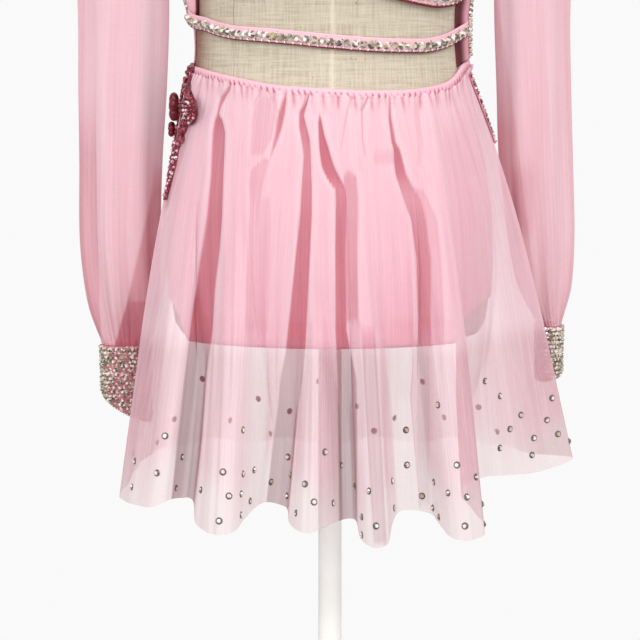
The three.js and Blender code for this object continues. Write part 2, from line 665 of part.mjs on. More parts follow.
// Sleeves and cuffs
function addSleeve(name, rings, turn) {
  const angles = steps(0, 2 * Math.PI, 26).slice(0, -1);
  const place = (angle, ring, side, column, row) => {
    const gathered = row > rings.length - 3 || (row > 0 && row < 3);
    const gather = gathered ? (column % 2 ? -1 : 1) * GATHER.sleeveDepth : 0;
    const soft = ring.fold * Math.cos(SLEEVE_FOLDS * angle + 0.4 * row);
    const grow = gather + soft - (side ? 0 : MESH_THICK);
    const outward = (ring.wide + grow) * Math.cos(angle);
    const lean = radians(ring.lean);
    const point = new THREE.Vector3(
      ring.x + turn * outward * Math.cos(lean),
      ring.y + (ring.deep + grow) * Math.sin(angle),
      ring.z + outward * Math.sin(lean),
    );
    if (row > 0) return point;
    const body = readTable(FORM, "z", point.z);
    const off = bodiceInner(point.z) + BODICE_THICK + BAND_GAP;
    point.x = turn * (body.wide + off) * Math.sqrt(1 - (point.y / (body.deep + off)) ** 2);
    return point;
  };
  addClothWall(name, angles, rings, place, true, "pinkMesh");
}

function addCuff(name, cuff, turn) {
  const angles = steps(0, 2 * Math.PI, 26).slice(0, -1);
  const place = (angle, down, side) => {
    const inward = (1 - Math.cos(angle)) / 2;
    const edge = mix(cuff.outer, cuff.inner, inward ** 0.6);
    const size = mix(1, cuff.taper, down);
    const thick = side ? 0 : CUFF_THICK;
    return new THREE.Vector3(
      cuff.x + turn * (cuff.wide * size - thick) * Math.cos(angle),
      cuff.y + (cuff.deep * size - thick) * Math.sin(angle),
      mix(cuff.top, edge, down),
    );
  };
  addClothWall(name, angles, steps(0, 1, 3), place, true, "crystal");
}

// Trimmings: round petalled domes that face outwards from the hip
function addDome(name, place, petals, facing, finish) {
  const count = 25;
  const shells = [
    { reach: 0.94, out: 0 },
    { reach: 1, out: 0.45 },
    { reach: 0.7, out: 0.95 },
    { reach: 0.3, out: 0.8 },
  ];
  const turned = radians(facing);
  const outward = new THREE.Vector3(Math.sin(turned), -Math.cos(turned), 0);
  const across = new THREE.Vector3(Math.cos(turned), Math.sin(turned), 0);
  const spot = (right, up, out) =>
    new THREE.Vector3(place.x, place.y, place.z + up).addScaledVector(across, right).addScaledVector(outward, out);
  const points = [];
  for (const shell of shells) {
    for (let i = 0; i < count; i += 1) {
      const angle = (i / count) * 2 * Math.PI;
      const reach = place.radius * shell.reach * (1 - petals.cut * (0.5 - 0.5 * Math.cos(petals.count * angle)));
      points.push(spot(reach * Math.sin(angle), reach * Math.cos(angle), shell.out * place.thick));
    }
  }
  points.push(spot(0, 0, 0), spot(0, 0, place.thick));
  const faces = [];
  for (let i = 0; i < count; i += 1) {
    const next = (i + 1) % count;
    for (let s = 0; s < shells.length - 1; s += 1) {
      const [low, high] = [s * count, (s + 1) * count];
      faces.push(low + i, low + next, high + next, low + i, high + next, high + i);
    }
    faces.push(points.length - 2, next, i);
    faces.push(points.length - 1, (shells.length - 1) * count + i, (shells.length - 1) * count + next);
  }
  addBody(name, points, faces, finish);
}

addForm();
addStand();
addBrief("brief_front", -89.8, 89.8);
addBrief("brief_back", 90.2, 269.8);
addGusset();
addBodice("bodice_front", BODICE_TOP_FRONT, false, (bearing) => readTable(BODICE_LOW, "at", bearing).z);
addBodice("bodice_back", BODICE_TOP_BACK, true, () => BODICE_BACK_EDGE);
addBackPanel();
addEdgeTrim("side_trim_right", RIGHT_EDGE, 1);
addEdgeTrim("side_trim_left", LEFT_EDGE, -1);
addStrap();
addWaistband();
addSkirt();
addHipTrim("hip_trim_left", LEFT_HIP);
addHipTrim("hip_trim_right", RIGHT_HIP);
addSleeve("sleeve_left", LEFT_SLEEVE, -1);
addSleeve("sleeve_right", RIGHT_SLEEVE, 1);
addCuff("cuff_left", LEFT_CUFF, -1);
addCuff("cuff_right", RIGHT_CUFF, 1);
for (const flower of FLOWERS) addDome(flower.name, flower, { count: 5, cut: 0.35 }, -90, "burgundy");
addDome("hip_rosette", ROSETTE, { count: 8, cut: 0.12 }, ROSETTE.facing, "burgundy");

export default costume;
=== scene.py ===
"""Looks of a lyrical dance costume on a limbless dress form with a short table stand.

Tables are in millimetres, with bearings in degrees: 0 is the front (-Y) and 90 the viewer's right (+X).
Every mesh is written in metres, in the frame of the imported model.
"""

import json
import logging
import math
from dataclasses import dataclass, field
from enum import Enum
from typing import Callable, Sequence

import bmesh
import bpy
import numpy as np
from mathutils import Matrix, Vector
from mathutils.bvhtree import BVHTree

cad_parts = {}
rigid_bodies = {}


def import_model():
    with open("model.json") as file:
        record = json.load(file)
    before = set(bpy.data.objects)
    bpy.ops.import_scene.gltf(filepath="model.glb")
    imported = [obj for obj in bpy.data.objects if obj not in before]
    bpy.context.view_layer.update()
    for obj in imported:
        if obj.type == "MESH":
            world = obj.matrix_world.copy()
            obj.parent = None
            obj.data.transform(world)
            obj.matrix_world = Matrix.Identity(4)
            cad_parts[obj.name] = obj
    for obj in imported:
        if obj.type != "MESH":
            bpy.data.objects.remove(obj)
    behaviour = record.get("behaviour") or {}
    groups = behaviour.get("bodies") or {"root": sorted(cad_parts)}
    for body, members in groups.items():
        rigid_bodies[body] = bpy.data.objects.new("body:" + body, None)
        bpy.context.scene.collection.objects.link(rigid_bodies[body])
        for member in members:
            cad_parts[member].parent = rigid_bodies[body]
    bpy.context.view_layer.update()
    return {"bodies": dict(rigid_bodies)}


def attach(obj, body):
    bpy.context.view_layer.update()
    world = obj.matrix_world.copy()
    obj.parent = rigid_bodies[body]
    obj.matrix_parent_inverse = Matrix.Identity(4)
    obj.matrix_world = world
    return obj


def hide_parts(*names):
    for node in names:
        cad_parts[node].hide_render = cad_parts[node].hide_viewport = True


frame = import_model()
BODY = next(iter(frame["bodies"]))

log = logging.getLogger("costume")

Points = np.ndarray
Masks = dict[str, np.ndarray]
Place = Callable[[np.ndarray, np.ndarray], tuple[Points, Masks]]

MM = 0.001
SEAM_GAP = 0.35
BAND_GAP = 0.65
FORM_GAP = 1.2
BODICE_GAP = 2.8
MESH_THICK = 1.2
BRIEF_THICK = 1.3
BODICE_THICK = 1.5
BAND_THICK = 3.0
STRAP_THICK = 1.6
TRIM_THICK = 2.0
SKIRT_OFF_FORM = 5.5
PANEL_OUTER = 2.7
FORM_BOTTOM = 312.0
FORM_TOP = 872.0
BRIEF_EDGE = 309.8
WAISTBAND_TALL = 5.6
STRAP_TALL = 10.0
BODICE_BACK_EDGE = 572.0
SHOULDER_EASE = 4.5


class Table:
    """Rows of named numbers, read between the rows by a smooth curve that never overshoots."""

    def __init__(self, names: str, rows: Sequence[Sequence[float]]) -> None:
        """Keeps the rows; the first named column is the one that the others are read by."""
        self.names = names.split()
        self.data = np.array(rows, float).T
        key = self.data[0]
        before = np.diff(self.data, axis=1)[:, :-1] / np.diff(key)[:-1]
        after = np.diff(self.data, axis=1)[:, 1:] / np.diff(key)[1:]
        total = np.where(before + after == 0, 1, before + after)
        inner = np.where(before * after <= 0, 0, 2 * before * after / total)
        edge = np.zeros((len(self.data), 1))
        self.slopes = np.hstack([edge, inner, edge])

    def read(self, at: np.ndarray | float) -> dict[str, np.ndarray]:
        """Reads every column at the given places.

        Args:
            at: Places along the first column.

        Returns:
            The value of each named column.
        """
        key = self.data[0]
        at = np.asarray(at, float)
        row = np.clip(np.searchsorted(key, at, side="right") - 1, 0, len(key) - 2)
        span = key[row + 1] - key[row]
        t = np.clip((at - key[row]) / span, 0, 1)
        values = {}
        for name, column, slope in zip(self.names, self.data, self.slopes):
            start, end = column[row], column[row + 1]
            bend = (1 - t) * slope[row] * span - t * slope[row + 1] * span + (2 * t - 1) * (end - start)
            values[name] = start + t * (end - start) + t * (1 - t) * bend
        return values


def spline(rows: np.ndarray, at: np.ndarray, looped: bool) -> np.ndarray:
    """Runs a smooth curve through rows of numbers.

    Args:
        rows: One row of numbers per knot.
        at: Places counted in rows.
        looped: Whether the last row is followed by the first.

    Returns:
        One row of numbers for each place.
    """
    count = len(rows)
    low = np.floor(at).astype(int)
    low = low if looped else np.clip(low, 0, count - 2)
    t = (at - low)[:, None]
    pick = (lambda i: rows[i % count]) if looped else (lambda i: rows[np.clip(i, 0, count - 1)])
    a, b, c, d = (pick(low + k) for k in (-1, 0, 1, 2))
    return b + 0.5 * t * (c - a + t * (2 * a - 5 * b + 4 * c - d + t * (3 * (b - c) + d - a)))


def smooth(value: np.ndarray | float, low: float, high: float) -> np.ndarray:
    """Rises softly from 0 at low to 1 at high."""
    t = np.clip((np.asarray(value, float) - low) / (high - low), 0, 1)
    return t * t * (3 - 2 * t)


def wrap(bearing: np.ndarray | float) -> np.ndarray:
    """Turns a bearing into the range from -180 to 180."""
    return (np.asarray(bearing, float) + 180) % 360 - 180


FORM = Table(
    "z wide deep",
    [
        (312, 114, 98), (319, 118.5, 102.5), (340, 121.5, 106), (365, 122.5, 107.5), (400, 121.5, 106),
        (440, 116, 100), (475, 109, 92), (505, 103.5, 84.5), (530, 101.5, 81.5), (550, 101.5, 81.5),
        (575, 103, 83.5), (610, 107.5, 89), (650, 113.5, 95), (690, 118, 97.5), (730, 121, 92),
        (760, 122.5, 80), (780, 121, 65), (792, 113, 57), (802, 99, 51), (812, 76, 47),
        (820, 58, 44), (828, 50, 42), (845, 46, 41), (872, 45, 41),
    ],
)

WAIST_LINE = Table(
    "at z",
    [
        (-180, 522), (-120, 520), (-90, 516), (-66, 513), (-57, 511), (-40, 506.5), (-22, 501.5),
        (-10, 499.8), (4, 498.4), (14, 497.6), (27, 497.6), (45, 500.2), (56, 504), (64, 510),
        (70, 515.5), (80, 519), (120, 521), (180, 522),
    ],
)

SKIRT_INNER = Table(
    "z wide deep",
    [
        (170, 97, 78), (230, 106, 89), (290, 121.5, 107), (335, 127, 111.8), (365, 128, 113),
        (400, 127, 111.5), (440, 121.5, 105.5), (475, 114.5, 97.5), (505, 109, 90), (530, 107, 87),
    ],
)

# The skirt's hem: at, x, y, z, bow and tone, which is 1 where the cloth lies in the shade of its folds, 0
# where it swells and -1 where it hangs thin and flat
HEM = np.array(
    [
        (-64, -162, -25, 186.5, 0.68, 0), (-59.5, -147, -70, 188.5, 0.8, 0), (-55.5, -133, -95, 191, 0.95, 0),
        (-52.5, -123, -97, 195, 1.05, 0), (-50.5, -118, -86, 195.5, 1.15, 0), (-49, -111, -67, 193, 1.3, 0),
        (-47.5, -103.5, -75, 193, 1.45, 0), (-46, -99, -110, 182, 1.45, 0), (-43, -91, -133, 180, 1.3, 0),
        (-39, -83.5, -143, 179.3, 1.15, 0), (-35, -76, -145, 180, 1.1, 0), (-31, -69, -139, 181.5, 1.1, 0),
        (-27, -63, -123, 187, 1.2, -0.6), (-21.5, -55, -103, 192.5, 1.4, -1),
        (-16, -47.5, -88, 193.5, 1.7, 0),
        (-13, -39.5, -82, 191, 1.9, 0), (-10, -32.5, -91, 189.5, 2.1, 0), (-8.4, -30, -115, 182.5, 2, 0),
        (-6.8, -22.5, -135, 180.2, 1.6, 0), (-5.2, -14.5, -142, 180.4, 1.3, 0),
        (-3.4, -4.5, -135, 183, 1.1, 0),
        (-1.6, 4, -119, 184.2, 1, 0), (-0.2, 9, -104, 183.2, 1, 0), (1.4, 14.4, -98, 183, 1, 0),
        (3.2, 19, -107, 182.5, 1, 0), (4.8, 21.5, -131, 175, 1, 0), (7.7, 28, -149, 172, 1, 0),
        (10.5, 35.5, -153, 171.8, 1, 0), (13.5, 42, -142, 174, 1, 0), (15.5, 46, -113, 184, 1, -0.5),
        (19, 52, -98, 188.5, 1.1, -1), (23.5, 62, -94, 188.5, 1.3, -1), (25.5, 69, -92, 187, 1.4, 0),
        (27.5, 76, -99, 185.5, 1.3, 0), (29.5, 82, -121, 179.5, 1.1, 0), (31.5, 88, -136, 175.8, 1, 0),
        (34.5, 97, -143, 175, 0.9, 0), (37.5, 106, -138, 175.5, 0.8, 0), (40, 112.5, -125, 177, 0.74, 0),
        (42, 112, -104, 181.6, 0.78, 0.03), (44.5, 105, -84, 188, 0.9, 0.09),
        (47.5, 99, -64, 195, 1.05, 0.14),
        (51.5, 104, -43, 200, 1.05, 0.12), (57, 120.5, -24, 202, 0.95, 0.07), (63, 135, -9, 200.5, 0.9, 0.03),
        (71, 157.5, 5, 200, 0.86, 0), (79, 177, 13, 204, 0.84, 0), (87, 191, 22, 209, 0.84, 0),
        (94, 182, 45, 207.5, 0.86, 0.3), (101, 160, 74, 205, 0.9, 0.4), (108, 144, 100, 207, 1, 0.1),
        (114, 131, 122, 205, 1, 0), (121, 112, 124, 209, 1.1, 0.5), (127, 98, 108, 213, 1.2, 0.9),
        (133, 88, 124, 208, 1.1, 0.4), (139, 80, 147, 203, 1, 0), (145, 64, 155, 202, 1, 0),
        (151, 50, 138, 207, 1.1, 0.4), (157, 42, 116, 212, 1.3, 1), (163, 31, 114, 212, 1.3, 0.9),
        (168, 23, 136, 206, 1.1, 0.3), (174, 11, 157, 201, 1, 0), (180, -6, 161, 200, 1, 0),
        (187, -22, 146, 204, 1.1, 0.4), (193, -30, 120, 210, 1.3, 0.9), (199, -40, 113, 212, 1.3, 1),
        (205, -49, 130, 207, 1.1, 0.4), (211, -58, 150, 203, 1, 0), (217, -74, 153, 203, 1, 0),
        (223, -87, 136, 207, 1.1, 0.4), (229, -94, 112, 212, 1.3, 0.9), (235, -104, 104, 211, 1.3, 0.8),
        (241, -116, 114, 206, 1.1, 0.1), (247, -129, 108, 205, 1, 0), (254, -137, 84, 207, 0.95, 0.3),
        (261, -142, 54, 207, 0.9, 0.2), (268, -148, 24, 206, 0.85, 0.1), (277, -153, 5, 200, 0.85, 0.1),
        (286, -157, -9, 193, 0.8, 0.1),
    ]
)

# Creases on the sides and back that start at the waistband: bearing, how far it drifts by its end, its
# depth and half width, where it starts and ends down the cloth in millimetres, and how dark its painted shade
# is
CREASES = [
    (55, 4, 1.2, 2.2, 3, 80, 0.2), (64, 4, 1.1, 2.0, 3, 90, 0.2), (73, 3, 1.0, 2.2, 3, 60, 0.2),
    (98, 2, 1.2, 2.4, 3, 70, 0.3), (112, 3, 1.6, 2.2, 3, 46, 0.5), (124, -2, 2.0, 2.2, 3, 60, 0.7),
    (136, 2, 1.2, 2.0, 3, 30, 0.4), (149, -3, 1.9, 2.2, 3, 64, 0.6), (160, 2, 2.2, 2.4, 3, 52, 0.8),
    (172, -2, 1.2, 2.0, 3, 34, 0.4), (186, 3, 1.6, 2.2, 3, 70, 0.5), (197, -2, 2.2, 2.2, 3, 48, 0.8),
    (210, 2, 1.2, 2.0, 3, 36, 0.4), (222, -2, 1.7, 2.2, 3, 58, 0.6), (233, 3, 2.1, 2.2, 3, 50, 0.7),
    (246, 2, 1.3, 2.2, 3, 70, 0.3), (262, -2, 1.1, 2.4, 3, 60, 0.2), (280, 2, 1.1, 2.4, 3, 60, 0.2),
]

# The shaded sides of the front's folds, as pixels of the 640 x 640 photo: y, left, right and how dark
SHADES = [
    [
        (84, 230.5, 232, 0.8), (91, 225.5, 228.5, 0.8), (97, 219.6, 225, 0.75), (106, 217, 220, 0.75),
        (114.5, 215.4, 217.2, 0.8), (120.5, 213.2, 220.8, 0.9), (132, 211.2, 223.6, 0.85),
        (151, 210.2, 223.1, 0.85), (175, 209, 222, 0.85), (215, 205, 220.8, 0.9), (330, 190, 211.5, 0.95),
        (380, 183, 206, 1), (440, 176, 202, 1), (500, 170, 194, 1), (520, 168, 192, 1),
    ],
    [(87, 264.4, 265.8, 0.5), (93, 260.4, 262, 0.5), (99, 255.6, 257.2, 0.45), (105, 252, 253.4, 0.3)],
    [(89, 266, 267.6, 0.55), (95, 268, 270, 0.4), (104, 273, 276, 0.3), (112, 275, 278, 0.25)],
    [
        (92, 262, 268, 0.15), (105, 254, 275, 0.25), (120, 252, 276, 0.25), (140, 251, 271, 0.25),
        (155, 250, 262, 0.3),
    ],
    [
        (160, 261, 268, 0.3), (170, 250, 266, 0.3), (185, 248.5, 262, 0.35), (200, 249, 260, 0.3),
        (230, 250, 258, 0.2),
    ],
    [
        (96, 284.6, 285.8, 0.9), (103, 281.8, 285.4, 0.85), (111, 278.6, 284.4, 0.85),
        (115, 277.4, 283.8, 0.85), (128, 275.6, 280.9, 0.85), (139, 273.4, 277.3, 0.8),
        (146.5, 271.6, 274.6, 0.75), (159, 269.2, 269.8, 0.5),
    ],
    [(98, 295.4, 296.4, 0.4), (106, 292, 293.4, 0.35), (114, 289.6, 290.6, 0.2)],
    [
        (90, 307.4, 308.8, 0.9), (97, 308, 309.3, 1), (104, 304.6, 307, 0.9), (112, 299.2, 304.4, 0.85),
        (116, 298.9, 303.4, 0.85), (127, 298.7, 306, 0.85), (139, 301, 309.3, 0.85), (147, 302.2, 310, 0.8),
        (157, 303.4, 310.5, 0.8), (175, 302.2, 311, 0.8), (187, 301.4, 311.6, 0.85), (215, 299.8, 311.6, 0.9),
        (355, 285, 305, 1), (380, 280, 302, 1), (400, 278.5, 299, 1), (502, 266, 289, 1), (520, 264, 287, 1),
    ],
    [
        (116, 319.2, 320.2, 0.8), (123, 318.2, 321.6, 0.95), (135, 318.6, 324, 0.98), (149, 319.2, 328.6, 1),
        (158, 320.4, 331, 1), (166, 321.6, 333.8, 1), (173, 324.4, 337, 1), (179, 327.4, 340.5, 0.95),
        (185, 331.5, 343.8, 0.88), (190, 335.5, 346, 0.82), (200, 336, 347, 0.85), (250, 335.3, 346, 0.95),
        (330, 335.5, 346.5, 0.95), (350, 336.5, 350, 0.95), (380, 338, 357, 1), (440, 338.5, 357, 1),
        (520, 339, 357, 1), (530, 339, 357, 1),
    ],
    [
        (172, 345, 352, 0.3), (178, 344, 357, 0.58), (200, 345, 358.5, 0.58), (250, 345, 358, 0.58),
        (320, 346, 358, 0.5),
    ],
    [
        (95, 350, 351.4, 0.6), (100, 351.4, 353, 0.7), (103, 349.4, 351, 0.5), (110, 347, 348.6, 0.4),
        (125, 344, 346, 0.35), (147, 340.4, 342, 0.25),
    ],
    [
        (94, 369.6, 371, 0.6), (101, 366.6, 368.4, 0.8), (110, 361.4, 363.2, 0.8), (112, 361.6, 363, 0.55),
        (137, 361.8, 363.4, 0.45), (155, 364, 366.4, 0.3),
    ],
    [
        (95, 388.6, 390, 0.6), (101, 389, 391, 0.6), (119, 389.4, 392.2, 0.85), (143, 392.6, 396.6, 0.9),
        (150, 394.6, 400.8, 0.95), (162, 395, 403.9, 0.95), (175, 396.6, 407.2, 0.9), (186, 400, 413, 0.7),
        (200, 404.8, 422, 0.6), (220, 412, 427, 0.7), (260, 418, 432, 0.8), (320, 419, 432, 0.82),
        (345, 418, 431, 0.6),
    ],
    [
        (190, 412, 424, 0.3), (220, 425, 438, 0.3), (260, 430, 442, 0.3), (320, 430, 445, 0.4),
        (345, 430, 444, 0.3),
    ],
    [(150, 374, 394, 0.1), (157, 374, 395, 0.24), (163, 374, 394, 0.2), (165, 375, 393, 0.05)],
    [(200, 249, 270, 0.15), (260, 247, 271, 0.2), (330, 245, 268, 0.2)],
    [(92, 436.2, 437.4, 0.6), (100, 440, 441.6, 0.6), (108, 444.4, 445.6, 0.4), (116, 447, 448, 0.2)],
    [(97, 416, 419, 0.25), (114, 415, 420, 0.22), (143, 418.6, 424, 0.2), (165, 417, 422, 0.15)],
    [
        (97, 442.4, 445.4, 0.3), (121, 451.6, 457.4, 0.35), (164, 463, 469, 0.3), (200, 468, 474, 0.3),
        (300, 478, 482, 0.2),
    ],
    [
        (94, 459, 461, 0.3), (121, 471, 477, 0.35), (153, 480, 487, 0.3), (200, 487, 494, 0.25),
        (260, 495, 500, 0.2),
    ],
    [(330, 361.5, 375, 0.3), (355, 362.6, 376.6, 0.7), (380, 364, 378, 0.75), (545, 374, 387, 0.75)],
    [(345, 416, 429, 0.3), (360, 417, 430, 0.45), (505, 418, 430, 0.45)],
    [
        (76, 202.4, 204, 0.5), (84, 199, 201, 0.45), (92, 196.4, 198.4, 0.4), (104, 192, 197, 0.3),
        (128, 182, 190, 0.3), (163, 172, 180, 0.35), (215, 158, 164, 0.3),
    ],
]

# The burgundy ground on the left hip, as pixels of the photo: y, left and right
HIP_GROUND = np.array(
    [
        (67, 191, 195.5), (74, 188.4, 193.5), (82, 186.5, 191), (90, 184.5, 191.5), (98, 182.5, 195),
        (106, 181.5, 198.5), (114, 181, 197), (121, 180.5, 191), (130, 178.6, 187.5), (140, 176, 182.5),
        (150, 173.6, 179.5), (165, 170.4, 177), (180, 167.4, 172.8), (200, 163.8, 167.6),
    ]
)

BRIEF_LINE = Table(
    "at z",
    [
        (-180, 309.8), (-138, 309.8), (-124, 325), (-108, 338), (-90, 341), (-77, 337), (-68, 325),
        (-60, 309.8), (49, 309.8), (57, 329), (68, 337), (88, 341), (108, 338), (124, 325),
        (138, 309.8), (180, 309.8),
    ],
)

STRAP_LINE = Table(
    "at z off",
    [
        (-86, 552, 5.2), (-78, 549.5, 4.8), (-71, 547.3, 3.2), (-64, 546, 1.7), (-54, 542.5, 1.2),
        (-42, 539.5, 1.2), (-28, 537.8, 1.2), (-16, 536, 1.2), (0, 533.3, 1.2), (20, 530.6, 1.2),
        (35, 530, 1.2), (42, 530.1, 1.2), (49, 531.4, 1.2), (58, 534.6, 1.4), (65, 538.2, 2.6),
        (71, 541.5, 4.6), (74, 542.6, 4.9), (77.5, 543.6, 0.5), (85, 545.5, 0.3),
    ],
)

BODICE_LOW = Table(
    "at z",
    [
        (-90, 572.5), (-60, 580), (-32, 588), (0, 578), (20, 567), (30, 563), (41, 559.6),
        (48, 558.4), (56, 559.2), (68, 564), (76, 572.4), (90, 573),
    ],
)

BODICE_ARMHOLE = [
    (35.5, 89.4, 814), (43, 89.4, 805), (51, 89.2, 796), (54, 76, 784), (58, 70.5, 773),
    (66, 67, 745), (73, 73.5, 717), (81, 81, 705.5), (89.8, 89.8, 700),
]
BODICE_TOP_FRONT = Table(
    "at to z",
    [(0, 0, 742), (10, 11.8, 744), (18, 21.6, 754), (24, 28.5, 772), (28, 34, 790), (31, 45, 803),
     (33, 62, 810), *BODICE_ARMHOLE],
)
BODICE_TOP_BACK = Table(
    "at to z",
    [(0, 0, 778), (10, 12, 779), (18, 23, 784), (24, 32, 791), (28, 39, 799), (31, 51, 806),
     (33, 66, 811), *BODICE_ARMHOLE],
)
BODICE_TURN = 745.0

RIGHT_EDGE = Table("z at off", [(523, 77, 3.2), (536, 76, 3.2), (552, 76, 3.2), (571, 78, 3.8)])
LEFT_EDGE = Table(
    "z at off",
    [(523, -93, 3.5), (538, -91, 3.5), (547, -84, 3.6), (556, -80, 4.6), (564, -79, 6.6), (571, -79, 8)],
)
EDGE_TRIM_ARC = 16.0

LEFT_HIP = Table(
    "down start end",
    [(0.012, -103, -86), (0.06, -104, -86), (0.12, -104, -87), (0.2, -102, -88), (0.28, -100, -89),
     (0.345, -97, -91)],
)
RIGHT_HIP = Table(
    "down start end", [(0.012, 80, 94), (0.06, 82, 94), (0.12, 84, 93), (0.19, 86, 92)]
)

# The sleeves' rings: x, y, z, lean, wide, deep and fold
LEFT_SLEEVE = [
    (-122, 0, 742, 90, 43, 36, 0), (-138.5, 3, 738, 74, 45, 38, 0.6), (-153, 8, 722, 48, 43, 38, 1),
    (-161.5, 14, 690, 20, 38, 37, 1), (-162, 22, 640, 4, 37, 35, 1.2), (-159.5, 30, 565, 0, 34.9, 34, 1.5),
    (-161.3, 35, 500, 0, 34, 34, 1.6), (-163.5, 40, 441, 0, 32, 34, 1.8), (-165, 45, 380, 0, 31, 33, 2.2),
    (-163.2, 48, 334, 0, 28, 29, 2.6), (-161.8, 50, 308, 0, 23, 21, 1.6), (-161, 50, 296, 0, 19.5, 17, 0),
]
RIGHT_SLEEVE = [
    (122, 0, 742, 90, 43, 36, 0), (138.5, 3, 738, 74, 45, 38, 0.6), (151.5, 8, 722, 48, 40.5, 38, 1),
    (158.5, 14, 690, 20, 35, 37, 1), (158, 21, 640, 4, 32, 35, 1.2), (156, 28, 565, 0, 29, 34, 1.5),
    (158.5, 34, 500, 0, 28.5, 33, 1.6), (161.5, 43, 441, 0, 28.5, 32, 1.8), (166.5, 53, 385, 0, 26, 31, 2),
    (170, 61, 345, 0, 21.5, 29, 2.2), (173, 67, 321, 0, 14, 27.5, 1), (174.8, 70, 310, 0, 10, 26.5, 0),
]
SLEEVE_FOLDS = 7


def on_form(bearing: np.ndarray, z: np.ndarray, off: np.ndarray | float) -> Points:
    """Finds points at bearings and heights, a distance outside the form.

    Args:
        bearing: Degrees round the form.
        z: Heights.
        off: Distance outside the form.

    Returns:
        The points, in millimetres.
    """
    bearing, z = np.broadcast_arrays(np.asarray(bearing, float), np.asarray(z, float))
    ring = FORM.read(z)
    angle = np.radians(bearing)
    x = (ring["wide"] + off) * np.sin(angle)
    y = -(ring["deep"] + off) * np.cos(angle)
    return np.stack([x, y, z], -1)


def waist_line(bearing: np.ndarray) -> np.ndarray:
    """Reads the height of the waistband's top edge."""
    return WAIST_LINE.read(wrap(bearing))["z"]


# Finishes ---------------------------------------------------------------------------------------------


class Slot(Enum):
    """The record's material slots."""

    MESH = "pink_mesh"
    STRETCH = "pink_stretch"
    TRIM = "burgundy_trim"
    CRYSTAL = "crystal_cloth"
    LINEN = "linen"
    PAINT = "white_paint"


Colour = tuple[float, float, float]


def linear(red: float, green: float, blue: float) -> tuple[float, float, float, float]:
    """Turns a screen colour from 0 to 255 into the linear colour that shaders use."""
    parts = [c / 255 for c in (red, green, blue)]
    parts = [c / 12.92 if c <= 0.04045 else ((c + 0.055) / 1.055) ** 2.4 for c in parts]
    return (*parts, 1.0)


class Wiring:
    """Short calls for building one node tree."""

    def __init__(self, tree: bpy.types.NodeTree) -> None:
        """Keeps the tree that nodes are added to."""
        self.tree = tree

    def add(self, kind: str, settings: dict | None = None, **inputs: object) -> bpy.types.Node:
        """Adds a node, and sets or links its inputs.

        Args:
            kind: The node's type name.
            settings: Properties of the node.
            **inputs: Values or output sockets by input name, with spaces written as underscores.

        Returns:
            The node.
        """
        node = self.tree.nodes.new(kind)
        for name, value in (settings or {}).items():
            setattr(node, name, value)
        for name, value in inputs.items():
            key = int(name[1:]) if name[0] == "i" and name[1:].isdigit() else name.replace("_", " ")
            if isinstance(value, bpy.types.NodeSocket):
                self.tree.links.new(value, node.inputs[key])
            else:
                node.inputs[key].default_value = value
        return node

    def math(self, what: str, a: object, b: object = 0.0, clamp: bool = False) -> bpy.types.NodeSocket:
        """Adds a math node and returns its result."""
        return self.add("ShaderNodeMath", {"operation": what, "use_clamp": clamp}, i0=a, i1=b).outputs[0]

    def mix(self, share: object, a: object, b: object, blend: str = "MIX") -> bpy.types.NodeSocket:
        """Adds a colour mix and returns its result."""
        node = self.tree.nodes.new("ShaderNodeMix")
        node.data_type = "RGBA"
        node.blend_type = blend
        for index, value in ((0, share), (6, a), (7, b)):
            if isinstance(value, bpy.types.NodeSocket):
                self.tree.links.new(value, node.inputs[index])
            else:
                node.inputs[index].default_value = value
        return node.outputs[2]

    def scaled(self, value: object, by: float, plus: float) -> bpy.types.NodeSocket:
        """Multiplies a value and adds to it."""
        node = self.add("ShaderNodeMath", {"operation": "MULTIPLY_ADD"}, i0=value, i1=by, i2=plus)
        return node.outputs[0]

    def blend(self, share: object, a: object, b: object) -> bpy.types.NodeSocket:
        """Mixes two numbers."""
        return self.add("ShaderNodeMix", {"data_type": "FLOAT"}, i0=share, i2=a, i3=b).outputs[0]

    def noise(self, place: object, scale: object, detail: float = 2.0) -> bpy.types.NodeSocket:
        """Adds a noise texture and returns its value."""
        return self.add("ShaderNodeTexNoise", Vector=place, Scale=scale, Detail=detail).outputs[0]

    def mask(self, name: str) -> bpy.types.NodeSocket:
        """Reads a number that a mesh carries at its points or faces."""
        return self.add("ShaderNodeAttribute", {"attribute_name": name}).outputs["Fac"]

    def cut(self) -> bpy.types.NodeSocket:
        """Reads the cloth's own flat coordinates, in metres."""
        return self.add("ShaderNodeUVMap", {"uv_map": "cut"}).outputs[0]

    def ramp(self, value: object, stops: Sequence[tuple[float, tuple]]) -> bpy.types.NodeSocket:
        """Adds a colour ramp with the given stops and returns its colour."""
        node = self.add("ShaderNodeValToRGB", Fac=value)
        band = node.color_ramp
        while len(band.elements) < len(stops):
            band.elements.new(0.5)
        for element, (place, colour) in zip(band.elements, stops):
            element.position = place
            element.color = colour
        return node.outputs[0]


WEAVE = "woven_cloth"


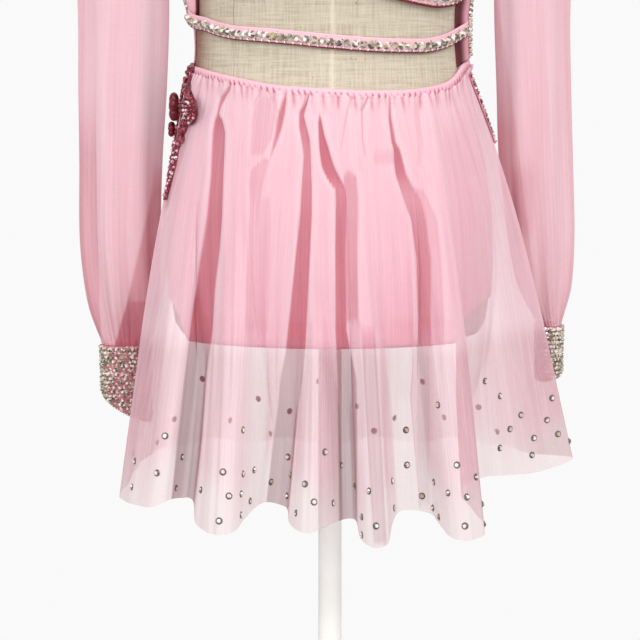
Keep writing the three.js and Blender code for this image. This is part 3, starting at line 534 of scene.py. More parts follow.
def woven_group() -> bpy.types.NodeTree:
    """Builds the weave that every cloth here uses.

    Returns:
        A node group with Threads and Grain masks and a Height, made from flat coordinates in metres.
    """
    tree = bpy.data.node_groups.new(WEAVE, "ShaderNodeTree")
    face = tree.interface
    face.new_socket("Vector", in_out="INPUT", socket_type="NodeSocketVector")
    for name, value in (("Pitch", 0.0012), ("Slub", 0.5), ("Grain Size", 900.0)):
        face.new_socket(name, in_out="INPUT", socket_type="NodeSocketFloat").default_value = value
    for name in ("Threads", "Grain", "Height"):
        face.new_socket(name, in_out="OUTPUT", socket_type="NodeSocketFloat")
    wires = Wiring(tree)
    source = tree.nodes.new("NodeGroupInput")
    result = tree.nodes.new("NodeGroupOutput")
    parts = wires.add("ShaderNodeSeparateXYZ", Vector=source.outputs["Vector"])
    turns = wires.math("DIVIDE", math.tau, source.outputs["Pitch"])
    across = wires.math("SINE", wires.math("MULTIPLY", parts.outputs[0], turns))
    along = wires.math("SINE", wires.math("MULTIPLY", parts.outputs[1], turns))
    cross = wires.scaled(wires.math("MULTIPLY", across, along), 0.5, 0.5)
    streaks = []
    for scale in ((1.0, 0.05, 1.0), (0.05, 1.0, 1.0)):
        turned = wires.add("ShaderNodeMapping", Vector=source.outputs["Vector"], Scale=scale)
        streaks.append(wires.noise(turned.outputs[0], source.outputs["Grain Size"]))
    slub = wires.math("MULTIPLY", wires.math("ADD", *streaks), 0.5)
    grain = wires.noise(source.outputs["Vector"], source.outputs["Grain Size"], 3.0)
    threads = wires.blend(source.outputs["Slub"], cross, slub)
    height = wires.math("ADD", threads, wires.math("MULTIPLY", grain, 0.4))
    for name, value in (("Threads", threads), ("Grain", grain), ("Height", height)):
        tree.links.new(value, result.inputs[name])
    return tree


@dataclass(frozen=True)
class Finish:
    """A material that is built on first use."""

    title: str

    def wire(self, wires: Wiring) -> bpy.types.Node:
        """Wires the shader; each kind of finish has its own."""
        raise NotImplementedError

    def material(self) -> bpy.types.Material:
        """Returns the material, and builds it the first time."""
        made = bpy.data.materials.get(self.title)
        if made is None:
            made = bpy.data.materials.new(self.title)
            made.use_nodes = True
            tree = made.node_tree
            tree.nodes.clear()
            shader = self.wire(Wiring(tree))
            output = tree.nodes.new("ShaderNodeOutputMaterial")
            tree.links.new(shader.outputs[0], output.inputs["Surface"])
        return made

    def woven(self, wires: Wiring, pitch: float, slub: float, size: float) -> bpy.types.Node:
        """Places the shared weave in a material, over the cloth's flat coordinates."""
        node = wires.tree.nodes.new("ShaderNodeGroup")
        node.node_tree = bpy.data.node_groups.get(WEAVE) or woven_group()
        wires.tree.links.new(wires.cut(), node.inputs["Vector"])
        for name, value in (("Pitch", pitch), ("Slub", slub), ("Grain Size", size)):
            node.inputs[name].default_value = value
        return node

    def bumped(self, wires: Wiring, height: object, strength: float, distance: float) -> bpy.types.NodeSocket:
        """Turns a height into a normal."""
        node = wires.add("ShaderNodeBump", Height=height, Strength=strength, Distance=distance)
        return node.outputs[0]


def painted(x: np.ndarray, y: np.ndarray) -> tuple[np.ndarray, np.ndarray, np.ndarray]:
    """Reads the shaded strips of the front at pixels of the photo.

    Args:
        x: Pixels across.
        y: Pixels down.

    Returns:
        The shade, the soft dip of the cloth there, and the light on the folds beside it.
    """
    shade, dip, lit = (np.zeros_like(x) for _ in range(3))
    for strip in SHADES:
        rows = np.array(strip, float)
        left, right, dark = (np.interp(y, rows[:, 0], rows[:, i]) for i in (1, 2, 3))
        run = smooth(y, rows[0, 0] - 3, rows[0, 0] + 1) * smooth(-y, -rows[-1, 0] - 3, -rows[-1, 0] + 1)
        crisp, soft, wide = (
            smooth(x, left - low, left + high) * smooth(-x, -right - low, -right + high)
            for low, high in ((0.8, 0.8), (4, 2.5), (10, -1))
        )
        shade = np.maximum(shade, dark * run * crisp)
        dip = np.maximum(dip, dark * run * soft)
        lit = np.maximum(lit, dark * run * wide)
    return shade, dip, lit * (1 - shade)


@dataclass(frozen=True)
class Veil:
    """One state of sheer cloth: its colour, how dense it is, and its colour over the brief."""

    colour: Colour
    dense: float
    warm: Colour


@dataclass(frozen=True)
class SheerMesh(Finish):
    """Sheer stretch mesh: see-through in one layer, denser where it is gathered or seen edge-on.

    It looks one way where it hangs flat, another where it swells towards the light, and a third, a painted
    shade, in the shade of a fold. Each has a warmer colour over the brief. Painted highlights and painted
    sheen streaks are mixed into its colour as well.
    """

    thin: Veil
    swell: Veil
    shade: Veil

    def wire(self, wires: Wiring) -> bpy.types.Node:
        """Wires the sheer cloth's shader."""
        tone, swell = wires.mask("tone"), wires.mask("swell")
        weave = self.woven(wires, 0.0016, 0.45, 1300.0)
        streaks = []
        for scale, slant in ((420.0, 0.0), (130.0, 0.02), (900.0, -0.12)):
            long = wires.add(
                "ShaderNodeMapping", Vector=wires.cut(), Scale=(1.0, 0.03, 1.0), Rotation=(0.0, 0.0, slant)
            )
            streaks.append(wires.noise(long.outputs[0], scale))
        soft = wires.noise(wires.cut(), 16.0)
        warm_blend = wires.mask("warm_blend")
        flat, full, dark = (
            wires.mix(warm_blend, linear(*state.colour), linear(*state.warm))
            for state in (self.thin, self.swell, self.shade)
        )
        # Painted highlight where the lit mask rises, then painted shade where the tone mask rises.
        colour = wires.mix(wires.mask("lit"), wires.mix(swell, flat, full), linear(255, 234, 241))
        colour = wires.mix(tone, colour, dark)
        # Painted sheen: fine and broad light streaks mixed into the colour, fewer in the shade.
        fine = wires.scaled(wires.math("ADD", streaks[0], streaks[2]), 2.4, -2.25)
        broad = wires.scaled(streaks[1], 2.6, -1.2)
        painted_sheen = wires.math("MULTIPLY", wires.math("MAXIMUM", wires.math("ADD", fine, broad), 0.0), 0.24, True)
        painted_sheen = wires.math("MULTIPLY", painted_sheen, wires.scaled(tone, -0.8, 1.0))
        colour = wires.mix(painted_sheen, colour, linear(255, 240, 244))
        speck = wires.ramp(weave.outputs["Grain"], [(0.3, linear(238, 228, 232)),
        (0.62, linear(255, 255, 255))])
        colour = wires.mix(0.45, colour, speck, "MULTIPLY")
        colour = wires.mix(wires.math("MULTIPLY", soft, 0.12), colour, linear(246, 176, 194))
        density = wires.blend(swell, self.thin.dense, self.swell.dense)
        density = wires.blend(tone, density, self.shade.dense)
        density = wires.math("ADD", density, wires.math("MULTIPLY", wires.mask("gather"), 0.35))
        texture = wires.math("MULTIPLY", wires.math("SUBTRACT", weave.outputs["Threads"], 0.5), 0.2)
        density = wires.math("ADD", density, texture)
        density = wires.math("ADD", density, wires.scaled(streaks[0], 0.14, -0.07))
        behind = wires.add("ShaderNodeNewGeometry").outputs["Backfacing"]
        inner = wires.math("MULTIPLY", behind, wires.mask("hidden"))
        density = wires.math("MULTIPLY", density, wires.scaled(inner, -0.75, 1.0))
        glance = wires.add("ShaderNodeLayerWeight", Blend=0.35).outputs["Facing"]
        edge_on = wires.math("MULTIPLY", wires.math("POWER", glance, 2.0), 0.5)
        density = wires.math("ADD", density, edge_on, True)
        return wires.add(
            "ShaderNodeBsdfPrincipled",
            Base_Color=colour,
            Roughness=0.62,
            Alpha=density,
            Sheen_Weight=0.15,
            Sheen_Roughness=0.35,
            Sheen_Tint=linear(255, 232, 238),
            Specular_IOR_Level=0.25,
            Normal=self.bumped(wires, weave.outputs["Height"], 0.25, 0.0002),
        )


@dataclass(frozen=True)
class Stretch(Finish):
    """Opaque two-way stretch cloth with a fine knit face, and another colour where it is shaded or doubled."""

    light: Colour
    shade: Colour
    shine: float = 0.25
    rough: float = 0.42

    def wire(self, wires: Wiring) -> bpy.types.Node:
        """Wires the stretch cloth's shader."""
        weave = self.woven(wires, 0.0009, 0.4, 1500.0)
        soft = wires.noise(wires.cut(), 22.0, 3.0)
        # Painted shade: the tone mask blends the cloth towards its shade colour.
        colour = wires.mix(wires.mask("tone"), linear(*self.light), linear(*self.shade))
        colour = wires.mix(wires.math("MULTIPLY", soft, 0.25), colour, linear(*self.shade))
        speck = wires.ramp(weave.outputs["Threads"], [(0.25, linear(226, 214, 218)),
        (0.6, linear(255, 255, 255))])
        colour = wires.mix(0.5, colour, speck, "MULTIPLY")
        return wires.add(
            "ShaderNodeBsdfPrincipled",
            Base_Color=colour,
            Roughness=wires.scaled(weave.outputs["Grain"], 0.2, self.rough),
            Sheen_Weight=self.shine,
            Sheen_Roughness=0.3,
            Normal=self.bumped(wires, weave.outputs["Height"], 0.3, 0.0002),
        )


@dataclass(frozen=True)
class Linen(Finish):
    """Unbleached linen over the form, with slubs, flecks, a pale front seam and painted pinkish-brown shade
    down its left side.
    """

    title: str = "linen_weave"

    def wire(self, wires: Wiring) -> bpy.types.Node:
        """Wires the linen's shader."""
        weave = self.woven(wires, 0.0011, 0.72, 800.0)
        coarse = self.woven(wires, 0.0024, 1.0, 380.0)
        soft = wires.noise(wires.cut(), 9.0, 4.0)
        colour = wires.ramp(
            weave.outputs["Threads"],
            [(0.3, linear(170, 159, 139)), (0.47, linear(202, 192, 174)), (0.62, linear(222, 214, 199))],
        )
        slubs = wires.ramp(coarse.outputs["Threads"], [(0.36, linear(190, 176, 152)),
        (0.5, linear(255, 252, 244))])
        colour = wires.mix(0.4, colour, slubs, "MULTIPLY")
        colour = wires.mix(wires.math("MULTIPLY", soft, 0.3), colour, linear(206, 192, 166))
        fleck = wires.noise(wires.cut(), 300.0, 1.0)
        fleck = wires.math("MULTIPLY", wires.math("GREATER_THAN", fleck, 0.735), 0.45)
        colour = wires.mix(fleck, colour, linear(120, 104, 84))
        colour = wires.mix(wires.mask("pale_seam"), colour, linear(236, 228, 208))
        # Painted pinkish-brown shade on the form's left side.
        colour = wires.mix(wires.mask("warm_blend"), colour, linear(176, 116, 100), "MULTIPLY")
        height = wires.math("ADD", weave.outputs["Height"], coarse.outputs["Threads"])
        return wires.add(
            "ShaderNodeBsdfPrincipled",
            Base_Color=colour,
            Roughness=0.88,
            Sheen_Weight=0.1,
            Specular_IOR_Level=0.2,
            Normal=self.bumped(wires, height, 0.5, 0.0004),
        )


@dataclass(frozen=True)
class Facets(Finish):
    """Cut stones with painted reflections: each facet takes its own colour from a row, dark to white, for what
    it would reflect.
    """

    stops: tuple[tuple[float, Colour], ...]
    metal: float = 0.0
    rough: float = 0.12
    haze: Colour = (250, 226, 226)

    def wire(self, wires: Wiring) -> bpy.types.Node:
        """Wires the stones' shader."""
        colour = wires.ramp(wires.mask("facet"), [(place, linear(*shown)) for place, shown in self.stops])
        grain = wires.add("ShaderNodeTexCoord").outputs["Object"]
        cloud = wires.noise(grain, 900.0)
        colour = wires.mix(wires.math("MULTIPLY", cloud, 0.25), colour, linear(*self.haze))
        return wires.add(
            "ShaderNodeBsdfPrincipled",
            Base_Color=colour,
            Metallic=self.metal,
            Roughness=wires.scaled(cloud, 0.12, self.rough),
            Coat_Weight=0.5,
            Coat_Roughness=0.05,
        )


@dataclass(frozen=True)
class Paint(Finish):
    """White powder coat with a fine orange-peel surface."""

    title: str = "white_powder_coat"

    def wire(self, wires: Wiring) -> bpy.types.Node:
        """Wires the paint's shader."""
        place = wires.add("ShaderNodeTexCoord").outputs["Object"]
        peel = wires.noise(place, 700.0)
        wear = wires.noise(place, 14.0, 5.0)
        colour = wires.ramp(wear, [(0.3, linear(238, 237, 234)), (0.7, linear(252, 251, 249))])
        return wires.add(
            "ShaderNodeBsdfPrincipled",
            Base_Color=colour,
            Roughness=wires.scaled(wear, 0.25, 0.25),
            Normal=self.bumped(wires, peel, 0.15, 0.0002),
        )


WARM_THIN, WARM_SWELL, WARM_SHADE = (250, 206, 217), (252, 213, 224), (198, 90, 108)
SKIRT_MESH = SheerMesh(
    "pink_mesh_skirt",
    Veil((225, 188, 192), 0.36, WARM_THIN),
    Veil((229, 179, 190), 0.55, WARM_SWELL),
    Veil((170, 108, 118), 0.58, WARM_SHADE),
)
SLEEVE_MESH = SheerMesh(
    "pink_mesh_sleeve",
    Veil((228, 180, 188), 0.5, WARM_THIN),
    Veil((251, 202, 212), 0.64, WARM_SWELL),
    Veil((198, 102, 118), 0.78, WARM_SHADE),
)
PINK_STRETCH = Stretch("pink_stretch_cloth", (255, 204, 216), (244, 168, 187))
PINK_BAND = Stretch("pink_elastic", (255, 208, 220), (206, 104, 128))
BURGUNDY = Stretch("burgundy_stretch", (126, 22, 38), (66, 8, 18), 0.05)
# Burgundy of the left hip's strip and bead ground, darker than the right's rose in part as painted shade.
WINE = Stretch("wine_cloth", (156, 42, 68), (112, 18, 40), 0.05)
ROSE = Stretch("rose_edge", (240, 172, 182), (196, 84, 110), 0.2)
# Rose, shading to dark burgundy at the right side trim's inner edge: painted shade beside the form.
ROSE_EDGE = Stretch("rose_trim_painted_shade", (246, 178, 192), (84, 0, 18), 0.0)
SEAM_THREAD = Stretch("seam_thread", (150, 134, 110), (120, 104, 84))
# Burgundy of the left hip's flowers, darkened in part as painted shade.
PETALS = Stretch("burgundy_satin", (112, 12, 26), (52, 4, 12), 0.0, 0.12)
CRYSTALS = Facets(
    "aurora_crystal",
    (
        (0.0, (16, 20, 16)), (0.17, (46, 56, 44)), (0.3, (112, 116, 82)), (0.4, (196, 174, 108)),
        (0.5, (88, 130, 124)), (0.6, (208, 194, 164)), (0.72, (240, 214, 214)), (0.84, (250, 246, 240)),
        (1.0, (255, 255, 255)),
    ),
    metal=0.25,
)
GARNETS = Facets(
    "garnet_bead",
    (
        (0.0, (26, 2, 8)), (0.3, (84, 8, 26)), (0.6, (134, 26, 52)), (0.85, (184, 66, 94)),
        (1.0, (236, 160, 178)),
    ),
    rough=0.15,
    haze=(140, 30, 56),
)
GLINTS = Facets(
    "rose_crystal",
    (
        (0.0, (84, 12, 34)), (0.3, (160, 56, 84)), (0.55, (226, 150, 168)), (0.75, (255, 228, 232)),
        (1.0, (255, 255, 255)),
    ),
)
LINEN = Linen()
PAINT = Paint()


# Making -----------------------------------------------------------------------------------------------


@dataclass(frozen=True)
class SheetPlan:
    """How a sheet of cloth is laid out: its grid, the cut it comes from, and what it lies round."""

    name: str
    across: int
    down: int
    place: Place
    cut: tuple[float, float]
    looped: bool = False
    around: tuple[float, float] = (0.0, 0.0)
    thick: float = 0.0
    ease: float = 1.0


def finish_piece(
    obj: bpy.types.Object, finish: Finish, nodes: Sequence[str] = ()
) -> bpy.types.Object:
    """Gives a piece its material, its body and the CAD nodes that it stands for.

    Args:
        obj: The piece.
        finish: Its finish.
        nodes: CAD nodes that it stands for.

    Returns:
        The piece.
    """
    obj.data.materials.clear()
    obj.data.materials.append(finish.material())
    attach(obj, BODY)
    if nodes:
        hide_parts(*nodes)
    log.info("%s: %d faces", obj.name, len(obj.data.polygons))
    return obj


def show(name: str, mesh: bpy.types.Mesh) -> bpy.types.Object:
    """Puts a mesh in the scene at the origin."""
    obj = bpy.data.objects.new(name, mesh)
    bpy.context.scene.collection.objects.link(obj)
    return obj


def show_bmesh(name: str, bm: bmesh.types.BMesh, soft: bool = False) -> bpy.types.Object:
    """Turns a finished bmesh into a piece at the origin.

    Args:
        name: The piece's name.
        bm: The bmesh, which is freed.
        soft: Whether its faces are shaded smooth.

    Returns:
        The piece.
    """
    mesh = bpy.data.meshes.new(name)
    bm.to_mesh(mesh)
    bm.free()
    mesh.polygons.foreach_set("use_smooth", [soft] * len(mesh.polygons))
    return show(name, mesh)


def corners_of(mesh: bpy.types.Mesh) -> Points:
    """Reads a mesh's points."""
    flat = np.zeros(len(mesh.vertices) * 3)
    mesh.vertices.foreach_get("co", flat)
    return flat.reshape(-1, 3)


def lay_flat(mesh: bpy.types.Mesh, flat: np.ndarray) -> None:
    """Gives a mesh its cut: flat coordinates in metres, one pair for each point."""
    used = np.zeros(len(mesh.loops), np.int32)
    mesh.loops.foreach_get("vertex_index", used)
    layer = mesh.uv_layers.get("cut") or mesh.uv_layers.new(name="cut")
    layer.data.foreach_set("uv", flat[used].ravel())


def add_wall(obj: bpy.types.Object, thick: float) -> None:
    """Gives a sheet a thin wall, half of it on either side."""
    wall = obj.modifiers.new("wall", "SOLIDIFY")
    wall.thickness = thick * MM
    wall.offset = 0.0


def build_sheet(plan: SheetPlan) -> bpy.types.Object:
    """Lays out a grid as a sheet of cloth, with its flat coordinates in metres and its masks.

    Args:
        plan: How the sheet is laid out.

    Returns:
        The sheet, with a thin wall if the plan gives one.
    """
    bm = bmesh.new()
    bmesh.ops.create_grid(bm, x_segments=plan.across, y_segments=plan.down, size=0.5)
    mesh = bpy.data.meshes.new(plan.name)
    bm.to_mesh(mesh)
    bm.free()
    flat = corners_of(mesh)[:, :2]
    flat = (flat - flat.min(0)) / (flat.max(0) - flat.min(0))
    flat[:, 1] **= plan.ease
    points, masks = plan.place(flat[:, 0], flat[:, 1])
    mesh.vertices.foreach_set("co", (points * MM).ravel())
    lay_flat(mesh, flat * plan.cut)
    for name, values in masks.items():
        mesh.attributes.new(name, "FLOAT", "POINT").data.foreach_set("value", np.asarray(values, float).ravel())
    mesh.polygons.foreach_set("use_smooth", [True] * len(mesh.polygons))
    mesh.update()
    centres, normals = (np.zeros(len(mesh.polygons) * 3) for _ in range(2))
    mesh.polygons.foreach_get("center", centres)
    mesh.polygons.foreach_get("normal", normals)
    outward = centres.reshape(-1, 3)[:, :2] - np.array(plan.around) * MM
    if (normals.reshape(-1, 3)[:, :2] * outward).sum() < 0:
        mesh.flip_normals()
    if plan.looped:
        bm = bmesh.new()
        bm.from_mesh(mesh)
        bmesh.ops.remove_doubles(bm, verts=bm.verts, dist=2e-6)
        bm.to_mesh(mesh)
        bm.free()
    obj = show(plan.name, mesh)
    if plan.thick:
        add_wall(obj, plan.thick)
    return obj


def look_at(plan: SheetPlan, u: np.ndarray, v: np.ndarray) -> tuple[Points, Points]:
    """Finds points on a planned sheet and the directions that it faces there.

    Args:
        plan: The sheet's plan.
        u: Shares across it.
        v: Shares down it.

    Returns:
        The points, and the outward normals.
    """
    step = 1e-3
    here = plan.place(u, v)[0]
    side = plan.place(u + step, v)[0] - plan.place(u - step, v)[0]
    fall = plan.place(u, v + step)[0] - plan.place(u, v - step)[0]
    normal = np.cross(side, fall)
    normal /= np.linalg.norm(normal, axis=1, keepdims=True) + 1e-12
    away = here[:, :2] - np.array(plan.around)
    normal *= np.sign((normal[:, :2] * away).sum(1, keepdims=True) + 1e-12)
    return here, normal


@dataclass(frozen=True)
class StoneCut:
    """The shape of one stone or bead, for a girdle one unit across."""

    sides: int = 8
    table: float = 0.54
    tall: float = 0.42
    rim: float = 0.0
    long: float = 1.0

    def template(self) -> tuple[Points, list[tuple[int, ...]]]:
        """Cuts the stone with its flat back at the origin.

        Returns:
            Its points and its faces.
        """
        bm = bmesh.new()
        bmesh.ops.create_cone(
            bm, cap_ends=True, cap_tris=False, segments=self.sides, radius1=0.5, radius2=0.5 * self.table,
            depth=self.tall,
        )
        bmesh.ops.translate(bm, vec=(0, 0, self.tall / 2), verts=bm.verts)
        if self.rim:
            low = bmesh.ops.create_cone(
                bm, cap_ends=True, segments=self.sides, radius1=0.5 + self.rim, radius2=0.5, depth=0.16
            )
            bmesh.ops.translate(bm, vec=(0, 0, 0.08), verts=low["verts"])
        bmesh.ops.scale(bm, vec=(1, self.long, 1), verts=bm.verts)
        bm.verts.index_update()
        points = np.array([v.co[:] for v in bm.verts])
        faces = [tuple(v.index for v in f.verts) for f in bm.faces]
        bm.free()
        return points, faces


@dataclass
class Stones:
    """Many stones of one cut, gathered and joined into one mesh."""

    name: str
    cut: StoneCut = StoneCut()
    seed: int = 3
    # The least brightness of the painted highlight on each stone's top facet.
    bright: float = 0.55
    places: list[Points] = field(default_factory=list)
    facings: list[Points] = field(default_factory=list)
    sizes: list[np.ndarray] = field(default_factory=list)
    spins: list[np.ndarray] = field(default_factory=list)

    def add(
        self, places: Points, facings: Points, size: np.ndarray | float, spin: np.ndarray | None = None
    ) -> None:
        """Adds stones at points, with the direction that each faces, its width and its turn."""
        count = len(places)
        self.places.append(places)
        self.facings.append(facings)
        self.sizes.append(np.broadcast_to(np.asarray(size, float), (count,)))
        self.spins.append(np.arange(count) * 2.399 if spin is None else np.broadcast_to(spin, (count,)))

    def join(self) -> bpy.types.Object:
        """Joins the stones into one mesh with a painted reflection value on each facet.

        Returns:
            The piece.
        """
        shape, faces = self.cut.template()
        place, normal = np.concatenate(self.places), np.concatenate(self.facings)
        size, spin = np.concatenate(self.sizes), np.concatenate(self.spins)
        up = np.array([0.0, 0.0, 1.0])
        right = np.cross(up, normal)
        right /= np.linalg.norm(right, axis=1, keepdims=True) + 1e-9
        over = np.cross(normal, right)
        across = np.cos(spin)[:, None] * right + np.sin(spin)[:, None] * over
        along = np.cross(normal, across)
        basis = np.stack([across, along, normal], 1)
        points = place[:, None] + size[:, None, None] * np.einsum("tk,nkx->ntx", shape, basis)
        step = len(shape)
        joined = [tuple(i + n * step for i in f) for n in range(len(place)) for f in faces]
        mesh = bpy.data.meshes.new(self.name)
        mesh.from_pydata((points.reshape(-1, 3) * MM).tolist(), [], joined)
        mesh.update()
        rng = np.random.default_rng(self.seed)
        # Painted reflections: a random value per facet; top facets get at least the painted highlight level,
        # and a rim's lower facets are pushed dark.
        facet = rng.random((len(place), len(faces))) * 0.85 + rng.random((len(place), 1)) * 0.15
        heights = np.array([min(shape[i][2] for i in f) for f in faces])
        facet[:, heights > 0.9 * self.cut.tall] = self.bright + (1 - self.bright) * rng.random((len(place), 1))
        if self.cut.rim:
            lower = [k for k, f in enumerate(faces) if max(shape[i][2] for i in f) < 0.2]
            facet[:, lower] *= 0.15
        mesh.attributes.new("facet", "FLOAT", "FACE").data.foreach_set("value", facet.ravel())
        return show(self.name, mesh)


def spun(name: str, profile: Sequence[tuple[float, float]], steps: int, bevel: float) -> bpy.types.Object:
    """Turns a profile of radius and height round the upright axis.

    Args:
        name: The piece's name.
        profile: Radius and height of each corner, from the bottom middle to the top middle.
        steps: Faces round the turn.
        bevel: How far the corners are rounded.

    Returns:
        The piece.
    """
    bm = bmesh.new()
    corners = [bm.verts.new((r * MM, 0, z * MM)) for r, z in profile]
    edges = [bm.edges.new(pair) for pair in zip(corners, corners[1:])]
    bmesh.ops.spin(
        bm, geom=[*corners, *edges], cent=(0, 0, 0), axis=(0, 0, 1), angle=math.tau, steps=steps, use_merge=True
    )
    bmesh.ops.remove_doubles(bm, verts=bm.verts, dist=1e-6)
    bmesh.ops.recalc_face_normals(bm, faces=bm.faces)
    sharp = [e for e in bm.edges if len(e.link_faces) == 2 and e.calc_face_angle(0) > 0.5]
    bmesh.ops.bevel(
        bm, geom=sharp, offset=bevel * MM, offset_type="OFFSET", segments=3, profile=0.5, affect="EDGES",
        material=-1,
    )
    return show_bmesh(name, bm, soft=True)


def piping(name: str, lines: Sequence[Points], radius: float, closed: bool = False) -> bpy.types.Object:
    """Runs a thin round binding along lines of points.

    Args:
        name: The piece's name.
        lines: One run of points for each length of binding.
        radius: The binding's radius.
        closed: Whether each run joins its own start.

    Returns:
        The piece, as one mesh.
    """
    curve = bpy.data.curves.new(name, "CURVE")
    curve.dimensions = "3D"
    curve.bevel_depth = radius * MM
    curve.bevel_resolution = 2
    curve.use_fill_caps = True
    for line in lines:
        run = curve.splines.new("POLY")
        run.points.add(len(line) - 1)
        run.points.foreach_set("co", np.hstack([line * MM, np.ones((len(line), 1))]).ravel())
        run.use_cyclic_u = closed
    draft = show(name + "_line", curve)
    bpy.context.view_layer.update()
    mesh = bpy.data.meshes.new_from_object(draft.evaluated_get(bpy.context.evaluated_depsgraph_get()))
    bpy.data.objects.remove(draft)
    mesh.name = name
    mesh.polygons.foreach_set("use_smooth", [True] * len(mesh.polygons))
    lay_flat(mesh, corners_of(mesh)[:, [0, 2]])
    return show(name, mesh)


# Dress form and stand ---------------------------------------------------------------------------------


@dataclass(frozen=True)
class DressForm:
    """The padded linen form without limbs, its neck cap and its seams."""

    front_seam: float = 0.8
    side_front_seam: float = -44.5
    seam_half: float = 0.9

    def place(self, u: np.ndarray, v: np.ndarray) -> tuple[Points, Masks]:
        """Lays the form's cloth round it, from the neck down."""
        bearing = self.front_seam - 180 + 360 * u
        z = FORM_TOP + (FORM_BOTTOM - FORM_TOP) * v
        ring = FORM.read(z)
        arc = np.radians(wrap(bearing)) * (ring["wide"] + ring["deep"]) / 2
        span = (ring["wide"] + ring["deep"]) / 2
        pale = np.abs(arc - np.radians(self.front_seam) * span) < self.seam_half
        points = on_form(bearing, z, 0.12 * np.sin(z / 23 + np.radians(3 * bearing)))
        # Painted shade, pinkish brown, down the form's left side.
        warm_blend = 0.9 * smooth(-wrap(bearing), 54, 82) * smooth(wrap(bearing), -150, -110)
        return points, {"pale_seam": pale * 0.6, "warm_blend": warm_blend}

    def build(self) -> None:
        """Builds the form and its neck cap."""
        plan = SheetPlan("form_linen", 240, 150, self.place, (0.68, 0.56), looped=True)
        obj = build_sheet(plan)
        bm = bmesh.new()
        bm.from_mesh(obj.data)
        bmesh.ops.holes_fill(bm, edges=[e for e in bm.edges if e.is_boundary], sides=0)
        bm.to_mesh(obj.data)
        bm.free()
        finish_piece(obj, LINEN, ["form_torso"])
        aside = self.side_front_seam
        z = np.linspace(318, 800, 180)
        sway = np.degrees((0.9 * np.sin(z / 11) + 0.5 * np.sin(z / 4.3 + 1)) / 95)
        seams = [on_form(at + sway, z, -0.25) for at in (aside, 90.0, -90.0, 180.0, 180 + aside, 180 - aside)]
        finish_piece(piping("form_seams", seams, 0.42), SEAM_THREAD)
        neck = FORM_TOP + 0.3
        cap = spun(
            "neck_cap_cloth",
            [(0, neck), (41.5, neck), (42.5, neck + 4), (35, neck + 9), (19, neck + 12), (0, neck + 13)],
            72,
            1.0,
        )
        uv_from_place(cap)
        finish_piece(cap, LINEN, ["neck_cap"])


def uv_from_place(obj: bpy.types.Object) -> None:
    """Gives a mesh flat coordinates in metres from where its points lie."""
    at = corners_of(obj.data)
    lay_flat(obj.data, at[:, :2] + at[:, 2:] * 0.7)


@dataclass(frozen=True)
class TableStand:
    """The round base with its hub, and the pole that carries the form."""

    radius: float = 150.0
    thick: float = 9.0
    hub: float = 24.0
    pole: float = 9.0
    flange: float = 12.5

    def build(self) -> None:
        """Builds the base and the pole."""
        socket = self.pole + SEAM_GAP
        base = spun(
            "stand_base_disc",
            [
                (0, 0), (self.radius, 0), (self.radius, self.thick), (self.hub + 10, self.thick + 1),
                (self.hub, self.thick + 6), (self.hub - 4, 24), (socket, 24), (socket, 6), (0, 6),
            ],
            128,
            1.6,
        )
        finish_piece(base, PAINT, ["stand_base"])
        top = FORM_BOTTOM - 0.3
        pole = spun(
            "stand_pole_tube",
            [
                (0, 6.3), (self.pole, 6.3), (self.pole, top - 12), (self.flange, top - 8), (self.flange, top),
                (0, top),
            ],
            64,
            0.7,
        )
        finish_piece(pole, PAINT, ["stand_pole"])


# Brief, bodice and back panel -------------------------------------------------------------------------


@dataclass(frozen=True)
class Brief:
    """The opaque brief under the skirt: a front, a back and a gusset parted round the pole."""

    band: float = 329.0
    front_half: float = 89.8
    gusset_hole: float = 14.0
    gusset_wide: float = 27.0
    gusset_deep: float = 101.5
    wall: float = 0.9

    def placer(self, start: float, end: float) -> Place:
        """Returns the place function of one side of the brief."""

        def place(u: np.ndarray, v: np.ndarray) -> tuple[Points, Masks]:
            bearing = start + (end - start) * u
            top = waist_line(bearing) - WAISTBAND_TALL - BAND_GAP
            z = top + (BRIEF_LINE.read(wrap(bearing))["z"] - top) * v
            points = on_form(bearing, np.maximum(z, 326), FORM_GAP + BRIEF_THICK / 2)
            points[:, 2] = z
            tone = 0.55 * smooth(-z, -self.band - 1.2, -self.band + 1.2)
            return points, {"tone": tone}

        return place

    def build(self) -> None:
        """Builds the brief's pieces."""
        for name, start, end in (
            ("brief_front", -self.front_half, self.front_half),
            ("brief_back", 90.2, 269.8),
        ):
            plan = SheetPlan(name + "_cloth", 110, 60, self.placer(start, end), (0.36, 0.19), thick=self.wall)
            obj = finish_piece(build_sheet(plan), PINK_STRETCH, [name])
        bm = bmesh.new()
        bmesh.ops.create_circle(bm, cap_ends=False, segments=48, radius=self.gusset_hole * MM)
        inner = bm.edges[:]
        rim = bmesh.ops.create_circle(bm, cap_ends=False, segments=48, radius=1.0)
        outer = [e for e in bm.edges if e not in inner]
        for v in rim["verts"]:
            reach = MM / max(abs(v.co.x), abs(v.co.y))
            v.co.x, v.co.y = v.co.x * reach * self.gusset_wide, v.co.y * reach * self.gusset_deep
        bmesh.ops.bridge_loops(bm, edges=inner + outer)
        bmesh.ops.subdivide_edges(bm, edges=bm.edges[:], cuts=1, use_grid_fill=True)
        bmesh.ops.translate(bm, vec=(0, 0, (BRIEF_EDGE + 0.4 + BRIEF_THICK / 2) * MM), verts=bm.verts)
        bmesh.ops.recalc_face_normals(bm, faces=bm.faces)
        obj = show_bmesh("brief_gusset_cloth", bm)
        add_wall(obj, self.wall)
        uv_from_place(obj)
        finish_piece(obj, PINK_STRETCH, ["brief_gusset"])


